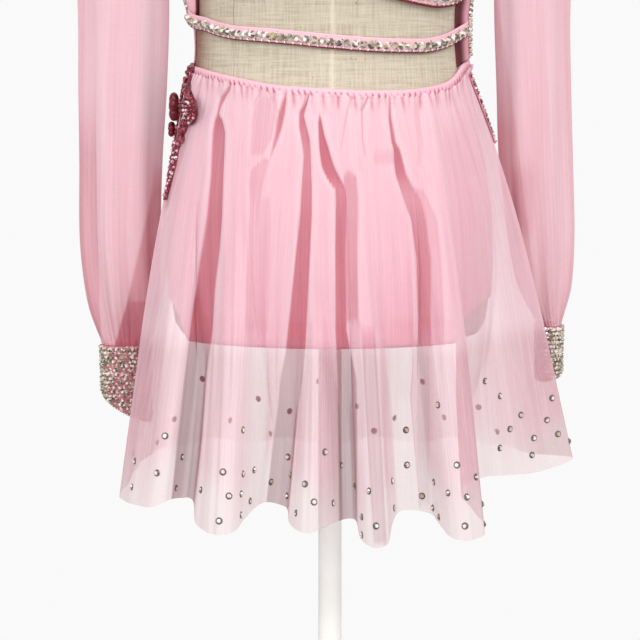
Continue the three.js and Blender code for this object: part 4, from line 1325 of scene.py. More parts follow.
@dataclass(frozen=True)
class Bodice:
    """The bodice's front and back, its bindings, and the row of stones along the front's lower edge."""

    half: float = 89.8

    def placer(self, tops: Table, back: bool) -> Place:
        """Returns the place function of the front or the back."""

        def place(u: np.ndarray, v: np.ndarray) -> tuple[Points, Masks]:
            bearing = (2 * u - 1) * self.half
            top = tops.read(np.abs(bearing))
            low = np.full_like(bearing, BODICE_BACK_EDGE) if back else BODICE_LOW.read(bearing)["z"]
            z = top["z"] + (low - top["z"]) * v
            start = np.minimum(BODICE_TURN, top["z"] - 30)
            t = np.clip((z - start) / (top["z"] - start), 0, 1)
            turn = t * t * (3 - 2 * t)
            leaning = (np.abs(bearing) + (top["to"] - np.abs(bearing)) * turn) * np.sign(bearing)
            off = BODICE_GAP + SHOULDER_EASE * smooth(z, 745, 785) + BODICE_THICK / 2
            points = on_form(180 - leaning if back else leaning, z, off)
            return points, {"tone": 0.12 * smooth(v, 0.9, 1.0)}

        return place

    def build(self) -> None:
        """Builds both sides and their trims."""
        bindings = []
        for name, tops, back in (
            ("bodice_front", BODICE_TOP_FRONT, False),
            ("bodice_back", BODICE_TOP_BACK, True),
        ):
            plan = SheetPlan(name + "_cloth", 220, 120, self.placer(tops, back), (0.36, 0.24), thick=1.1)
            obj = finish_piece(build_sheet(plan), PINK_STRETCH, [name])
            edge = np.linspace(0, 1, 260)
            bindings.append(plan.place(edge, np.zeros(260))[0])
            if not back:
                self.trim(plan)
        finish_piece(piping("bodice_binding", bindings, 0.95), PINK_BAND)

    def trim(self, plan: SheetPlan) -> None:
        """Sews the burgundy edge and the stones on the front's lower edge."""
        u = np.linspace(0.002, 0.998, 240)
        low = plan.place(u, np.ones(240))[0]
        finish_piece(piping("bodice_front_piping", [low], 1.05), BURGUNDY)
        stones = Stones("bodice_stones", seed=11, bright=0.1)
        small = Stones("bodice_small_stones", seed=12)
        place, facing = look_at(plan, np.linspace(0.01, 0.99, 52), np.full(52, 0.976))
        stones.add(place + facing * 0.6, facing, 6.0)
        place, facing = look_at(plan, np.linspace(0.02, 0.98, 51), np.full(51, 0.994))
        small.add(place + facing * 0.6, facing, 2.6)
        for group in (stones, small):
            finish_piece(group.join(), CRYSTALS)


@dataclass(frozen=True)
class BackPanel:
    """The panel over the lower back, between the waistband and the bodice."""

    def place(self, u: np.ndarray, v: np.ndarray) -> tuple[Points, Masks]:
        """Lays the panel over the back, from the right side round to the left."""
        low = waist_line(80 + 185 * u) + 2 * BAND_GAP
        top = BODICE_BACK_EDGE - BAND_GAP
        z = top + (low - top) * v
        start = RIGHT_EDGE.read(z)["at"] + 3
        end = 360 + LEFT_EDGE.read(z)["at"] - 3
        points = on_form(start + (end - start) * u, z, (FORM_GAP + PANEL_OUTER) / 2)
        return points, {"tone": 0.15 * smooth(np.abs(u - 0.5), 0.42, 0.5)}

    def build(self) -> None:
        """Builds the panel."""
        plan = SheetPlan("back_panel_cloth", 120, 24, self.place, (0.34, 0.05), thick=1.1)
        obj = finish_piece(build_sheet(plan), PINK_STRETCH, ["back_panel"])


# Trims at the waist and sides -------------------------------------------------------------------------


@dataclass(frozen=True)
class Waistband:
    """The gathered casing over the waist elastic."""

    ticks: int = 144

    def place(self, u: np.ndarray, v: np.ndarray) -> tuple[Points, Masks]:
        """Lays the casing round the waist; down it goes over the top, down the face and under."""
        bearing = -180 + 360 * u
        turn = v * math.tau
        tall, deep = WAISTBAND_TALL / 2, BAND_THICK / 2
        phase = bearing * math.pi / 180 * self.ticks + 1.6 * np.sin(bearing / 9) + 1.1 * np.cos(turn)
        crimp = np.sin(phase) * (0.75 + 0.25 * np.sin(bearing / 2.3))
        low = smooth(np.sin(turn - math.pi / 2) * -1, -0.2, 1.0)
        squared = 1 / (np.abs(np.sin(turn)) ** 3.2 + np.abs(np.cos(turn)) ** 3.2) ** (1 / 3.2)
        out = deep * np.sin(turn) * squared
        z = waist_line(bearing) - tall + tall * np.cos(turn) * squared
        face = np.clip(np.sin(turn), 0, 1)
        bottom = np.clip(-np.cos(turn), 0, 1)
        out = out - 0.3 * (1 - crimp) * face * (0.2 + bottom)
        z = z - bottom * (0.5 + 0.35 * crimp)
        points = on_form(bearing, z, FORM_GAP + BAND_THICK / 2 + out)
        # Painted shade in the crimps' troughs on the lower face, and a little under the casing.
        tone = 0.95 * smooth(-crimp, 0.15, 0.85) * smooth(-np.cos(turn), -0.45, 0.15) + 0.1 * low
        return points, {"tone": np.clip(tone, 0, 1)}

    def build(self) -> bpy.types.Object:
        """Builds the casing."""
        plan = SheetPlan("waistband_casing", 1080, 20, self.place, (0.62, 0.016), looped=True)
        obj = finish_piece(build_sheet(plan), PINK_BAND, ["waistband"])
        return obj


@dataclass(frozen=True)
class MidriffStrap:
    """The narrow elastic across the midriff, with one row of large stones and small ones between."""

    start: float = -86.0
    end: float = 85.0
    pitch: float = 5.9
    stoned: float = 288.0

    def placer(self, off: float) -> Place:
        """Returns the place function of the strap, a distance out from its inner face."""

        def place(u: np.ndarray, v: np.ndarray) -> tuple[Points, Masks]:
            bearing = self.start + (self.end - self.start) * u
            line = STRAP_LINE.read(bearing)
            z = line["z"] + STRAP_TALL * (0.5 - v)
            # Painted shade along the strap's lower edge.
            return on_form(bearing, z, line["off"] + off), {"tone": 0.35 * smooth(v, 0.82, 1.0)}

        return place

    def build(self) -> None:
        """Builds the elastic, its dark lower edge and its stones."""
        place = self.placer(STRAP_THICK / 2)
        band = SheetPlan("midriff_elastic", 260, 10, place, (0.31, 0.01), thick=1.3)
        obj = finish_piece(build_sheet(band), PINK_BAND, ["midriff_strap"])
        edge = place(np.linspace(0, 1, 200), np.ones(200))[0]
        finish_piece(piping("midriff_edge", [edge], 0.75), BURGUNDY)
        face = SheetPlan("face", 1, 1, self.placer(STRAP_THICK - 0.1), (1, 1))
        count = int(self.stoned / self.pitch)
        rng = np.random.default_rng(5)
        large = Stones("midriff_stones", StoneCut(table=0.44), 6, 0.1)
        small = Stones("midriff_small_stones", seed=7, bright=0.8)
        u = np.linspace(0.008, 0.938, count)
        place, facing = look_at(face, u, 0.57 + rng.normal(0, 0.02, count))
        large.add(place, facing, 6.3 + rng.normal(0, 0.2, count))
        middle = (u[1:] + u[:-1]) / 2
        place, facing = look_at(face, middle, np.full(count - 1, 0.9))
        small.add(place, facing, 2.5)
        place, facing = look_at(face, middle[::2], np.full(len(middle[::2]), 0.27))
        small.add(place, facing, 2.0)
        for group in (large, small):
            finish_piece(group.join(), CRYSTALS)


@dataclass(frozen=True)
class SideTrim:
    """The trim down one side's opening: a dark inner edge, burgundy binding with painted shade beside the form,
    a pink fold and a row of stones.
    """

    name: str
    edge: Table
    turn: float
    lead: float
    wide: float
    low: float = 523.0
    high: float = 571.0

    def placer(self, extra: float) -> Place:
        """Returns the place function of the trim's cloth."""

        def place(u: np.ndarray, v: np.ndarray) -> tuple[Points, Masks]:
            across = self.turn * (u * (EDGE_TRIM_ARC + self.lead) - self.lead)
            foot = waist_line(self.edge.read(self.low)["at"] + across) + 1
            z = self.high + (foot - self.high) * v
            front = self.edge.read(z)
            far = np.maximum(PANEL_OUTER + BAND_GAP, front["off"] - 1)
            bearing = front["at"] + across
            if self.turn > 0:
                off = front["off"] + (far - front["off"]) * u + TRIM_THICK / 2
                off = extra + 0.9 + (off - 0.9) * smooth(u, 0, 0.35)
                # Painted shade: the inner edge darkens towards the form.
                return on_form(bearing, z, off), {"tone": smooth(-u, -0.34, -0.12)}
            off = 2.2 + (front["off"] + 0.6 - 2.2) * smooth(u, 0, 0.5) + extra
            off = off + (0.9 + extra - off) * smooth(-z, -549, -544)
            # Painted shade along the inner edge, beside the form.
            return on_form(bearing, z, off), {"tone": 0.3 * smooth(-u, -0.2, 0)}

        return place

    def build(self) -> None:
        """Builds the trim and its stones."""
        right = self.turn > 0
        plan = SheetPlan(self.name + "_cloth", 24, 40, self.placer(0), (0.03, 0.048), thick=1.2)
        obj = finish_piece(build_sheet(plan), ROSE_EDGE if right else PINK_BAND, [self.name])
        face = SheetPlan("face", 1, 1, self.placer(TRIM_THICK / 2 - 0.1), (1, 1))
        stones = Stones(self.name + "_stones", seed=21)
        count, reach = (13, 1.0) if right else (7, 0.5)
        for line in (0, 0.24):
            v = (np.arange(count) + 0.5 + 2 * line) / (count + 0.8) * reach
            place, facing = look_at(face, np.full(count, 0.52 + line), v)
            stones.add(place, facing, 3.9)
        finish_piece(stones.join(), CRYSTALS)
        inner = plan.place(np.zeros(60), np.linspace(0, 1 if right else 0.42, 60))[0]
        finish_piece(piping(self.name + "_edge", [inner], 0.6 if right else 1.0), BURGUNDY)


# Skirt ------------------------------------------------------------------------------------------------


@dataclass(frozen=True)
class Skirt:
    """The gathered sheer skirt, hung in folds from the waistband."""

    steps: int = 12
    rings: int = 96
    gathers: int = 118
    seed: int = 4
    tuck: float = 4.4
    waist: float = 98.0

    def lines(self, k: np.ndarray) -> np.ndarray:
        """Reads lines of cloth by their place along the hem, counted in rows."""
        low = np.floor(k).astype(int)
        turned = spline(HEM[:, 1:], k, True)
        at = self.bearings(k, low)
        count = len(HEM)
        share = smooth(k - low, 0.36, 0.64)
        turned[:, 4] = HEM[low % count, 5] * (1 - share) + HEM[(low + 1) % count, 5] * share
        return np.column_stack([at, turned])

    def bearings(self, k: np.ndarray, low: np.ndarray) -> np.ndarray:
        """Reads the bearing at the waist of each line of cloth, which runs on past a full turn."""
        count = len(HEM)
        t = k - low
        a, b, c, d = (HEM[(low + i) % count, 0] + 360 * ((low + i) // count) for i in (-1, 0, 1, 2))
        return b + 0.5 * t * (c - a + t * (2 * a - 5 * b + 4 * c - d + t * (3 * (b - c) + d - a)))

    def line_at(self, bearing: np.ndarray) -> np.ndarray:
        """Finds the place along the hem of the line that starts at a bearing on the waistband."""
        k = np.linspace(0, len(HEM), 4000)
        at = self.bearings(k, np.floor(k).astype(int))
        turned = (np.asarray(bearing, float) - at[0]) % 360 + at[0]
        return np.interp(turned, at, k)

    def hang(
        self, k: np.ndarray, down: np.ndarray, off: np.ndarray | float
    ) -> tuple[Points, np.ndarray, np.ndarray]:
        """Hangs the cloth.

        Args:
            k: Lines of cloth, counted in rows of the hem.
            down: Share of the way down.
            off: Distance outside the cloth's own face.

        Returns:
            The points, the lines' bearings at the waist, and their tones.
        """
        line = self.lines(k)
        at, x1, y1, z1, bow, tone = line.T
        top = waist_line(at) - WAISTBAND_TALL - BAND_GAP
        waist = on_form(at, top, SKIRT_OFF_FORM)
        share = np.maximum(down, 1e-6) ** bow
        x = waist[:, 0] + (x1 - waist[:, 0]) * share
        y = waist[:, 1] + (y1 - waist[:, 1]) * share
        z = top + (z1 - top) * down
        inner = SKIRT_INNER.read(z)
        reach = np.hypot(x / inner["wide"], y / inner["deep"])
        clear = 0.5 * (reach + 1 + np.sqrt((reach - 1) ** 2 + 0.012**2)) / reach
        x, y = x * clear, y * clear
        normal = np.stack([x / inner["wide"] ** 2, y / inner["deep"] ** 2], -1)
        normal /= np.linalg.norm(normal, axis=1, keepdims=True)
        inward = self.tuck * smooth(at, 64, 80) * smooth(-at, -108, -94)
        inward *= smooth(-down, -0.42, 0.0) * smooth(down, 0.0, 0.02)
        points = np.column_stack([x + normal[:, 0] * off - inward, y + normal[:, 1] * off, z])
        return points, at, tone

    def relief(self, at: np.ndarray, fall: np.ndarray) -> tuple[np.ndarray, ...]:
        """Works out the fine gathers and short creases.

        Args:
            at: Bearings at the waist.
            fall: Millimetres down the cloth.

        Returns:
            How far the cloth moves out, its painted shade in gathers and creases, how closely it is gathered,
            and the rise and fall of its gathers from -1 to 1.
        """
        rng = np.random.default_rng(self.seed)
        around = np.radians(at) * self.waist
        turn = math.tau * self.waist
        centres = (np.arange(self.gathers) + rng.uniform(-0.3, 0.3, self.gathers)) * turn / self.gathers
        depths = rng.uniform(0.35, 1.0, self.gathers)
        reaches = 9 + 36 * rng.random(self.gathers) ** 2.6
        out = np.zeros_like(at)
        tone = np.zeros_like(at)
        crimp = np.ones_like(at)
        for centre, depth, reach in zip(centres, depths, reaches):
            lean = 0.12 * math.sin(centre * 2.3) * fall
            apart = (around - centre - lean + turn / 2) % turn - turn / 2
            width = 0.95 + 0.02 * fall
            bump = np.exp(-((apart / width) ** 2)) * np.exp(-((fall / reach) ** 1.4))
            out -= depth * bump
            # Painted shade in the gather's trough near the waistband.
            tone = np.maximum(tone, (0.35 + 0.6 * depth) * bump * smooth(-fall, -19, -9))
            crimp = np.minimum(crimp, 1 - 2 * np.exp(-((apart / 1.5) ** 2)))
        for bearing, drift, depth, half, start, end, dark in CREASES:
            long = end - start
            share = np.clip((fall - start) / long, -1, 2)
            centre = np.radians(bearing + drift * share) * self.waist
            apart = (around - centre + turn / 2) % turn - turn / 2
            fade = smooth(fall, start - 3, start + 3) * smooth(-fall, -end - 0.35 * long, -end + 0.35 * long)
            body = np.exp(-((apart / half) ** 2) * 0.9)
            lip = np.exp(-(((apart - 1.9 * half) / half) ** 2)) * 0.35
            out += depth * fade * (lip - body)
            # Painted shade in the crease.
            tone = np.maximum(tone, dark * fade * smooth(-np.abs(apart), -half * 1.05, -half * 0.6))
        puff = 0.8 * np.exp(-(((fall - 7) / 6) ** 2))
        close = np.exp(-fall / 26)
        return out + puff, tone, close, crimp

    def place(self, u: np.ndarray, v: np.ndarray) -> tuple[Points, Masks]:
        """Lays the skirt's cloth, with its folds, creases and soft ripples."""
        k = u * len(HEM)
        base, at, fold = self.hang(k, v, 0.0)
        fall = (waist_line(at) - base[:, 2]).clip(0)
        out, crease, close, crimp = self.relief(at, fall)
        front = smooth(at, -64, -62) * smooth(-at, -43, -41)
        shade, dip, lit = painted(*LENS.seen(base))
        ripple = 0.55 * np.sin(k * 5.1 + 2.2 * np.sin(v * 5)) * smooth(v, 0.1, 0.45)
        ripple += 0.35 * np.sin(k * 8.3 + 1.1) * smooth(v, 0.3, 0.8) * np.cos(k * 0.7)
        out = out - 2.4 * front * dip * (1 - smooth(v, 0.3, 0.55))
        out = out + 0.7 * front * lit * (1 - smooth(v, 0.3, 0.5))
        points, _, _ = self.hang(k, v, np.maximum(out + ripple - MESH_THICK / 2, -3.2))
        points[:, 2] += np.exp(-((fall - 6.2) / 3.0).clip(0)) * (1.7 + 0.9 * crimp)
        # Painted shade: the folds' tone from the hem table, the shade of the gathers and creases, and the
        # front's shaded strips.
        tone = np.maximum(np.clip(fold, 0, 1) * smooth(v, 0.05, 0.13), crease)
        tone = np.maximum(tone, front * shade)
        warm = smooth(base[:, 2], 300, 322)
        hem = smooth(v, 0.84, 0.97 + 0.05 * np.sin(k * 1.3))
        thin = np.maximum(np.clip(-fold, 0, 1) * smooth(v, 0.3, 0.6), hem)
        return points, {
            "tone": tone,
            "swell": 1 - thin,
            "gather": 0.8 * close,
            # Painted highlight on the folds beside the front's shaded strips and on the gathers' crests near
            # the waist.
            "lit": 0.75 * np.maximum(front * lit, 0.6 * close * smooth(crimp, 0.3, 1)) * (0.25 + 0.75 * warm),
            "warm_blend": warm,
            "hidden": smooth(at, 96, 108) * smooth(-at, -266, -252),
        }

    def build(self) -> bpy.types.Object:
        """Builds the skirt's cloth."""
        across = len(HEM) * self.steps
        plan = SheetPlan("skirt_mesh", across, self.rings, self.place, (1.5, 0.34), looped=True, ease=1.4)
        obj = finish_piece(build_sheet(plan), SKIRT_MESH, ["skirt"])
        return obj


# Stones near the hem as pixels of the 640 x 640 photo
HEM_STONES = [
    (165, 436), (135, 461), (157, 473), (132, 487), (182, 457), (176, 488), (201, 490), (194, 509),
    (223, 472),
    (229, 496), (219, 521), (254, 470), (250, 501), (243, 430), (243, 474), (241, 494), (241, 515),
    (288, 457),
    (271, 482), (287, 496), (291, 475), (296, 513), (325, 452), (341, 465), (305, 484), (355, 486),
    (369, 491),
    (314, 502), (333, 503), (376, 526), (362, 535), (362, 517), (392, 481), (394, 508), (406, 430),
    (407, 465),
    (438, 405), (422, 496), (434, 482), (433, 508), (439, 517), (457, 465), (448, 493), (465, 526),
    (482, 504),
    (484, 524), (476, 477), (467, 497), (500, 396), (547, 420), (552, 398), (558, 434), (569, 441),
    (521, 415),
    (510, 429), (534, 438), (500, 448), (532, 455), (485, 381),
]


@dataclass(frozen=True)
class Lens:
    """The photo's camera: where it stands, how far it looks down, and its focal length in pixels."""

    side: float = -7.7
    target: float = 320.0
    distance: float = 2000.0
    pitch: float = 6.0
    focal: float = 2600.0
    frame: float = 640.0

    def eye(self) -> np.ndarray:
        """Returns where the camera stands."""
        tilt = math.radians(self.pitch)
        back, up = self.distance * math.cos(tilt), self.distance * math.sin(tilt)
        return np.array([self.side, -back, self.target + up])

    def ray(self, u: float, v: float) -> np.ndarray:
        """Returns the direction through a pixel."""
        tilt = math.radians(self.pitch)
        x, y = (u - self.frame / 2) / self.focal, (self.frame / 2 - v) / self.focal
        forward = np.array([0, math.cos(tilt), -math.sin(tilt)])
        up = np.array([0, math.sin(tilt), math.cos(tilt)])
        way = forward + up * y + np.array([x, 0, 0])
        return way / np.linalg.norm(way)

    def seen(self, points: Points) -> tuple[np.ndarray, np.ndarray]:
        """Returns the pixels at which points are seen."""
        tilt = math.radians(self.pitch)
        away = points - self.eye()
        deep = away[:, 1] * math.cos(tilt) - away[:, 2] * math.sin(tilt)
        high = away[:, 1] * math.sin(tilt) + away[:, 2] * math.cos(tilt)
        return self.frame / 2 + self.focal * away[:, 0] / deep, self.frame / 2 - self.focal * high / deep


LENS = Lens()


class Finder:
    """Finds the place on a piece that a pixel of the photo shows."""

    def __init__(self, *pieces: bpy.types.Object) -> None:
        """Takes the pieces that can be hit."""
        graph = bpy.context.evaluated_depsgraph_get()
        self.trees = [BVHTree.FromObject(piece, graph) for piece in pieces]

    def hit(self, u: float, v: float) -> tuple[np.ndarray, np.ndarray] | None:
        """Finds the first point along a pixel's ray.

        Args:
            u: The pixel across.
            v: The pixel down.

        Returns:
            The point and the direction that it faces, or nothing where the ray misses.
        """
        eye, way = LENS.eye() * MM, LENS.ray(u, v)
        found = [tree.ray_cast(Vector(eye), Vector(way)) for tree in self.trees]
        found = [f for f in found if f[0] is not None]
        if not found:
            return None
        place, normal, _, _ = min(found, key=lambda f: f[3])
        facing = np.array(normal)
        return np.array(place) / MM, facing * -np.sign(facing @ way)


@dataclass(frozen=True)
class HemStones:
    """Stones strewn along the hem, as the photo shows at the front and alike at the back."""

    width: float = 4.4
    behind: int = 18

    def build(self, skirt: bpy.types.Object) -> None:
        """Sets the stones on the skirt's outer face.

        Args:
            skirt: The skirt's cloth.
        """
        finder = Finder(skirt)
        hits = [hit for hit in (finder.hit(u, v) for u, v in HEM_STONES) if hit]
        places, facings = [hit[0] for hit in hits], [hit[1] for hit in hits]
        plan = SheetPlan("skirt", 1, 1, Skirt().place, (1, 1))
        rng = np.random.default_rng(9)
        rows = np.arange(self.behind)
        k = 50 + rows * 1.6 + rng.uniform(-0.6, 0.6, self.behind)
        v = np.array([0.975, 0.9, 0.955, 0.83, 0.93])[rows % 5] + rng.uniform(-0.02, 0.01, self.behind)
        place, facing = look_at(plan, k / len(HEM), v)
        stones = Stones("hem_stones", StoneCut(rim=0.13, table=0.6, tall=0.36), seed=14)
        stones.add(np.array(places), np.array(facings), self.width)
        stones.add(place, facing, self.width)
        finish_piece(stones.join(), CRYSTALS)


@dataclass(frozen=True)
class HipTrim:
    """A narrow strip on the skirt's side, covered with stones: burgundy, deepened in part as painted shade, on
    the left hip and rose on the right.
    """

    name: str
    rows: Table
    columns: int
    lines: int
    width: float
    finish: Finish

    def placer(self, extra: float) -> Place:
        """Returns the place function of the strip."""
        skirt = Skirt()

        def place(u: np.ndarray, v: np.ndarray) -> tuple[Points, Masks]:
            first, last = self.rows.data[0][0], self.rows.data[0][-1]
            down = first + (last - first) * v
            row = self.rows.read(down)
            bearing = row["start"] + (row["end"] - row["start"]) * u
            points, _, _ = skirt.hang(skirt.line_at(bearing), down, 0.4 + extra)
            return points, {"tone": 0.3 + 0 * u}

        return place

    def build(self) -> None:
        """Builds the strip and its stones."""
        plan = SheetPlan(self.name + "_cloth", 16, 60, self.placer(0), (0.03, 0.11), thick=0.6)
        obj = finish_piece(build_sheet(plan), self.finish, [self.name])
        face = SheetPlan("face", 1, 1, self.placer(0.3), (1, 1))
        rng = np.random.default_rng(31)
        pale = Stones(self.name + "_stones", seed=32)
        dark = Stones(self.name + "_beads", StoneCut(long=1.5), seed=33)
        for line in range(self.lines):
            v = (line + 0.5) / self.lines
            count = max(2, round(self.columns * (1 - 0.55 * v)))
            u = (np.arange(count) + 0.5 + 0.25 * (line % 2)) / (count + 0.25)
            place, facing = look_at(face, u, np.full(count, v) + rng.uniform(-0.008, 0.008, count))
            light = rng.random(count) < 0.35 + 0.6 * v
            pale.add(place[light], facing[light], self.width)
            dark.add(place[~light], facing[~light], self.width * 0.85, rng.uniform(-0.5, 0.5, (~light).sum()))
        finish_piece(pale.join(), GLINTS)
        finish_piece(dark.join(), GARNETS)


@dataclass(frozen=True)
class HipBeads:
    """The beaded ground that runs from the waistband's left end down beside the flowers."""

    leaves: tuple = (
        (195, 63, 4.2, 2.2), (192.5, 66, 4.2, 0.9), (190.5, 68, 4.6, 2.4), (188.5, 73, 4.6, 0.8),
        (187.5, 79, 4.6, 2.5), (186.5, 85, 4.6, 0.7), (186, 91, 4.4, 2.4), (185.5, 124, 4.6, 0.4),
        (184, 131, 4.8, 2.7), (183.5, 139, 6.2, 0.3), (178.5, 128, 4.0, 1.2), (180.5, 135, 4.0, 2.2),
    )
    glints: tuple = (
        (173, 143), (172, 153), (171, 158), (177, 158), (171, 166), (169, 172), (173, 173), (171.5, 177),
        (168.5, 184), (167, 189), (175.5, 147), (178, 151), (174, 162), (175, 168), (170.4, 181),
        (165.6, 195), (181, 127), (179, 144), (190, 115), (186, 118), (188.5, 121),
    )

    def build(self, *grounds: bpy.types.Object) -> None:
        """Sews the ground and its beads on the pieces below it.

        Args:
            *grounds: The pieces that the ground lies on.
        """
        finder = Finder(*grounds)
        rows, columns = 46, 6
        y = np.linspace(HIP_GROUND[0, 0], HIP_GROUND[-1, 0], rows + 1)
        left, right = (np.interp(y, HIP_GROUND[:, 0], HIP_GROUND[:, i]) for i in (1, 2))
        spots = np.zeros((rows + 1, columns + 1, 3))
        for j in range(rows + 1):
            for i in range(columns, -1, -1):
                hit = finder.hit(left[j] + (right[j] - left[j]) * i / columns, y[j])
                spots[j, i] = hit[0] + hit[1] * 0.7 if hit else spots[j, min(i + 1, columns)]

        def place(u: np.ndarray, v: np.ndarray) -> tuple[Points, Masks]:
            row = np.clip(np.rint(v * rows).astype(int), 0, rows)
            column = np.clip(np.rint(u * columns).astype(int), 0, columns)
            return spots[row, column], {"tone": 0.5 + 0 * u}

        plan = SheetPlan("hip_bead_ground", columns, rows, place, (0.02, 0.11))
        obj = finish_piece(build_sheet(plan), WINE)
        leaves = Stones("hip_leaf_beads", StoneCut(long=1.6, tall=0.5), seed=35)
        glints = Stones("hip_glints", seed=36)
        for u, v, size, turn in self.leaves:
            hit = finder.hit(u, v) or finder.hit(u + 4, v + 2)
            if hit:
                leaves.add(hit[0][None] + hit[1] * 0.8, hit[1][None], size * 0.8, np.array([turn]))
        for n, (u, v) in enumerate(self.glints):
            hit = finder.hit(u, v) or finder.hit(u + 3, v)
            if hit:
                glints.add(hit[0][None] + hit[1] * 0.9, hit[1][None], 2.6 + 0.9 * (n % 3 == 0))
        rng = np.random.default_rng(37)
        for _ in range(46):
            j, i = rng.integers(4, rows), rng.uniform(0.6, columns - 0.6)
            at = spots[j, int(i)] * (1 - i % 1) + spots[j, int(i) + 1] * (i % 1)
            out = np.array([at[0], at[1], 0]) / np.hypot(at[0], at[1])
            leaves.add((at + out * 0.2)[None], out[None], rng.uniform(1.8, 2.6), rng.uniform(0, 3, 1))
        finish_piece(leaves.join(), GARNETS)
        finish_piece(glints.join(), GLINTS)


@dataclass(frozen=True)
class HipFlowers:
    """Two burgundy flowers and a stone-set rosette on the left hip, their burgundy deepened in part as painted
    shade.
    """

    flowers: tuple = (
        ("hip_flower_upper", -115.4, 3.0, 483.0, 11.6, 6.5),
        ("hip_flower_lower", -118.6, 6.0, 466.0, 6.2, 4.6),
    )
    rosette: tuple = (-104.5, -48.7, 482.0, 11.0, 4.5, -54.0)

    def build(self) -> None:
        """Builds the flowers and the rosette."""
        for name, x, y, z, radius, thick in self.flowers:
            obj = self.flower(name + "_petals", radius, thick, 5)
            self.set_on(obj, (x, y, z), -90)
            finish_piece(obj, PETALS, [name])
        x, y, z, radius, thick, facing = self.rosette
        bm = bmesh.new()
        bmesh.ops.create_uvsphere(bm, u_segments=40, v_segments=20, radius=MM)
        bmesh.ops.bisect_plane(
            bm, geom=[*bm.verts, *bm.edges, *bm.faces], plane_co=(0, 0, 0), plane_no=(0, 0, -1),
            clear_outer=True,
        )
        bmesh.ops.holes_fill(bm, edges=[e for e in bm.edges if e.is_boundary], sides=0)
        bmesh.ops.scale(bm, vec=(radius, radius, thick * 0.8), verts=bm.verts)
        obj = show_bmesh("hip_rosette_cloth", bm)
        self.set_on(obj, (x, y, z), facing)
        finish_piece(obj, PETALS, ["hip_rosette"])
        out, side, up = self.axes(facing)
        pale, dark = Stones("hip_rosette_stones", seed=41), Stones("hip_rosette_beads", seed=42)
        rng = np.random.default_rng(43)
        for count, reach in ((1, 0), (6, 3.1), (12, 6.2), (18, 9.2)):
            angle = np.arange(count) * math.tau / count + rng.uniform(-0.1, 0.1, count)
            rise = thick * 0.8 * math.sqrt(max(0, 1 - (reach / radius) ** 2))
            spread = np.cos(angle)[:, None] * side + np.sin(angle)[:, None] * up
            lean = out * (rise + 2) + spread * reach * 0.5
            lean /= np.linalg.norm(lean, axis=1, keepdims=True)
            spots = np.array([x, y, z]) + out * rise + reach * spread
            light = rng.random(count) < 0.38
            dark.add(spots[~light], lean[~light], rng.uniform(2.6, 3.4, (~light).sum()))
            if light.any():
                pale.add(spots[light], lean[light], rng.uniform(2.2, 3.6, light.sum()))
        finish_piece(pale.join(), GLINTS)
        finish_piece(dark.join(), GARNETS)

    def flower(self, name: str, radius: float, thick: float, petals: int) -> bpy.types.Object:
        """Shapes a flower from petals that are pressed spheres, with a round middle."""
        bm = bmesh.new()
        for i in range(petals):
            ball = bmesh.ops.create_uvsphere(bm, u_segments=16, v_segments=10, radius=radius * 0.4 * MM)
            bmesh.ops.scale(bm, vec=(1.25, 1.25, thick / radius * 1.45), verts=ball["verts"])
            bmesh.ops.translate(bm, vec=(0, radius * 0.5 * MM, 0), verts=ball["verts"])
            turn = math.tau * i / petals
            spin = ((math.cos(turn), -math.sin(turn), 0), (math.sin(turn), math.cos(turn), 0), (0, 0, 1))
            bmesh.ops.transform(bm, matrix=Matrix(spin).to_4x4(), verts=ball["verts"])
        heart = bmesh.ops.create_uvsphere(bm, u_segments=14, v_segments=8, radius=radius * 0.3 * MM)
        bmesh.ops.translate(bm, vec=(0, 0, thick * 0.1 * MM), verts=heart["verts"])
        return show_bmesh(name, bm, soft=True)

    def axes(self, facing: float) -> tuple[np.ndarray, np.ndarray, np.ndarray]:
        """Returns the directions out from the body, sideways and up, for a bearing that a piece faces."""
        turn = math.radians(facing)
        out = np.array([math.sin(turn), -math.cos(turn), 0])
        return out, np.array([math.cos(turn), math.sin(turn), 0]), np.array([0, 0, 1.0])

    def set_on(self, obj: bpy.types.Object, place: tuple, facing: float) -> None:
        """Turns a flower to face out from the body, and moves it to its place in its mesh."""
        points = corners_of(obj.data)
        points[:, 2] -= points[:, 2].min()
        out, side, up = self.axes(facing)
        world = points[:, :1] * side + points[:, 1:2] * up + points[:, 2:] * out
        obj.data.vertices.foreach_set("co", (world + np.array(place) * MM).ravel())
        uv_from_place(obj)


# Sleeves and cuffs ------------------------------------------------------------------------------------


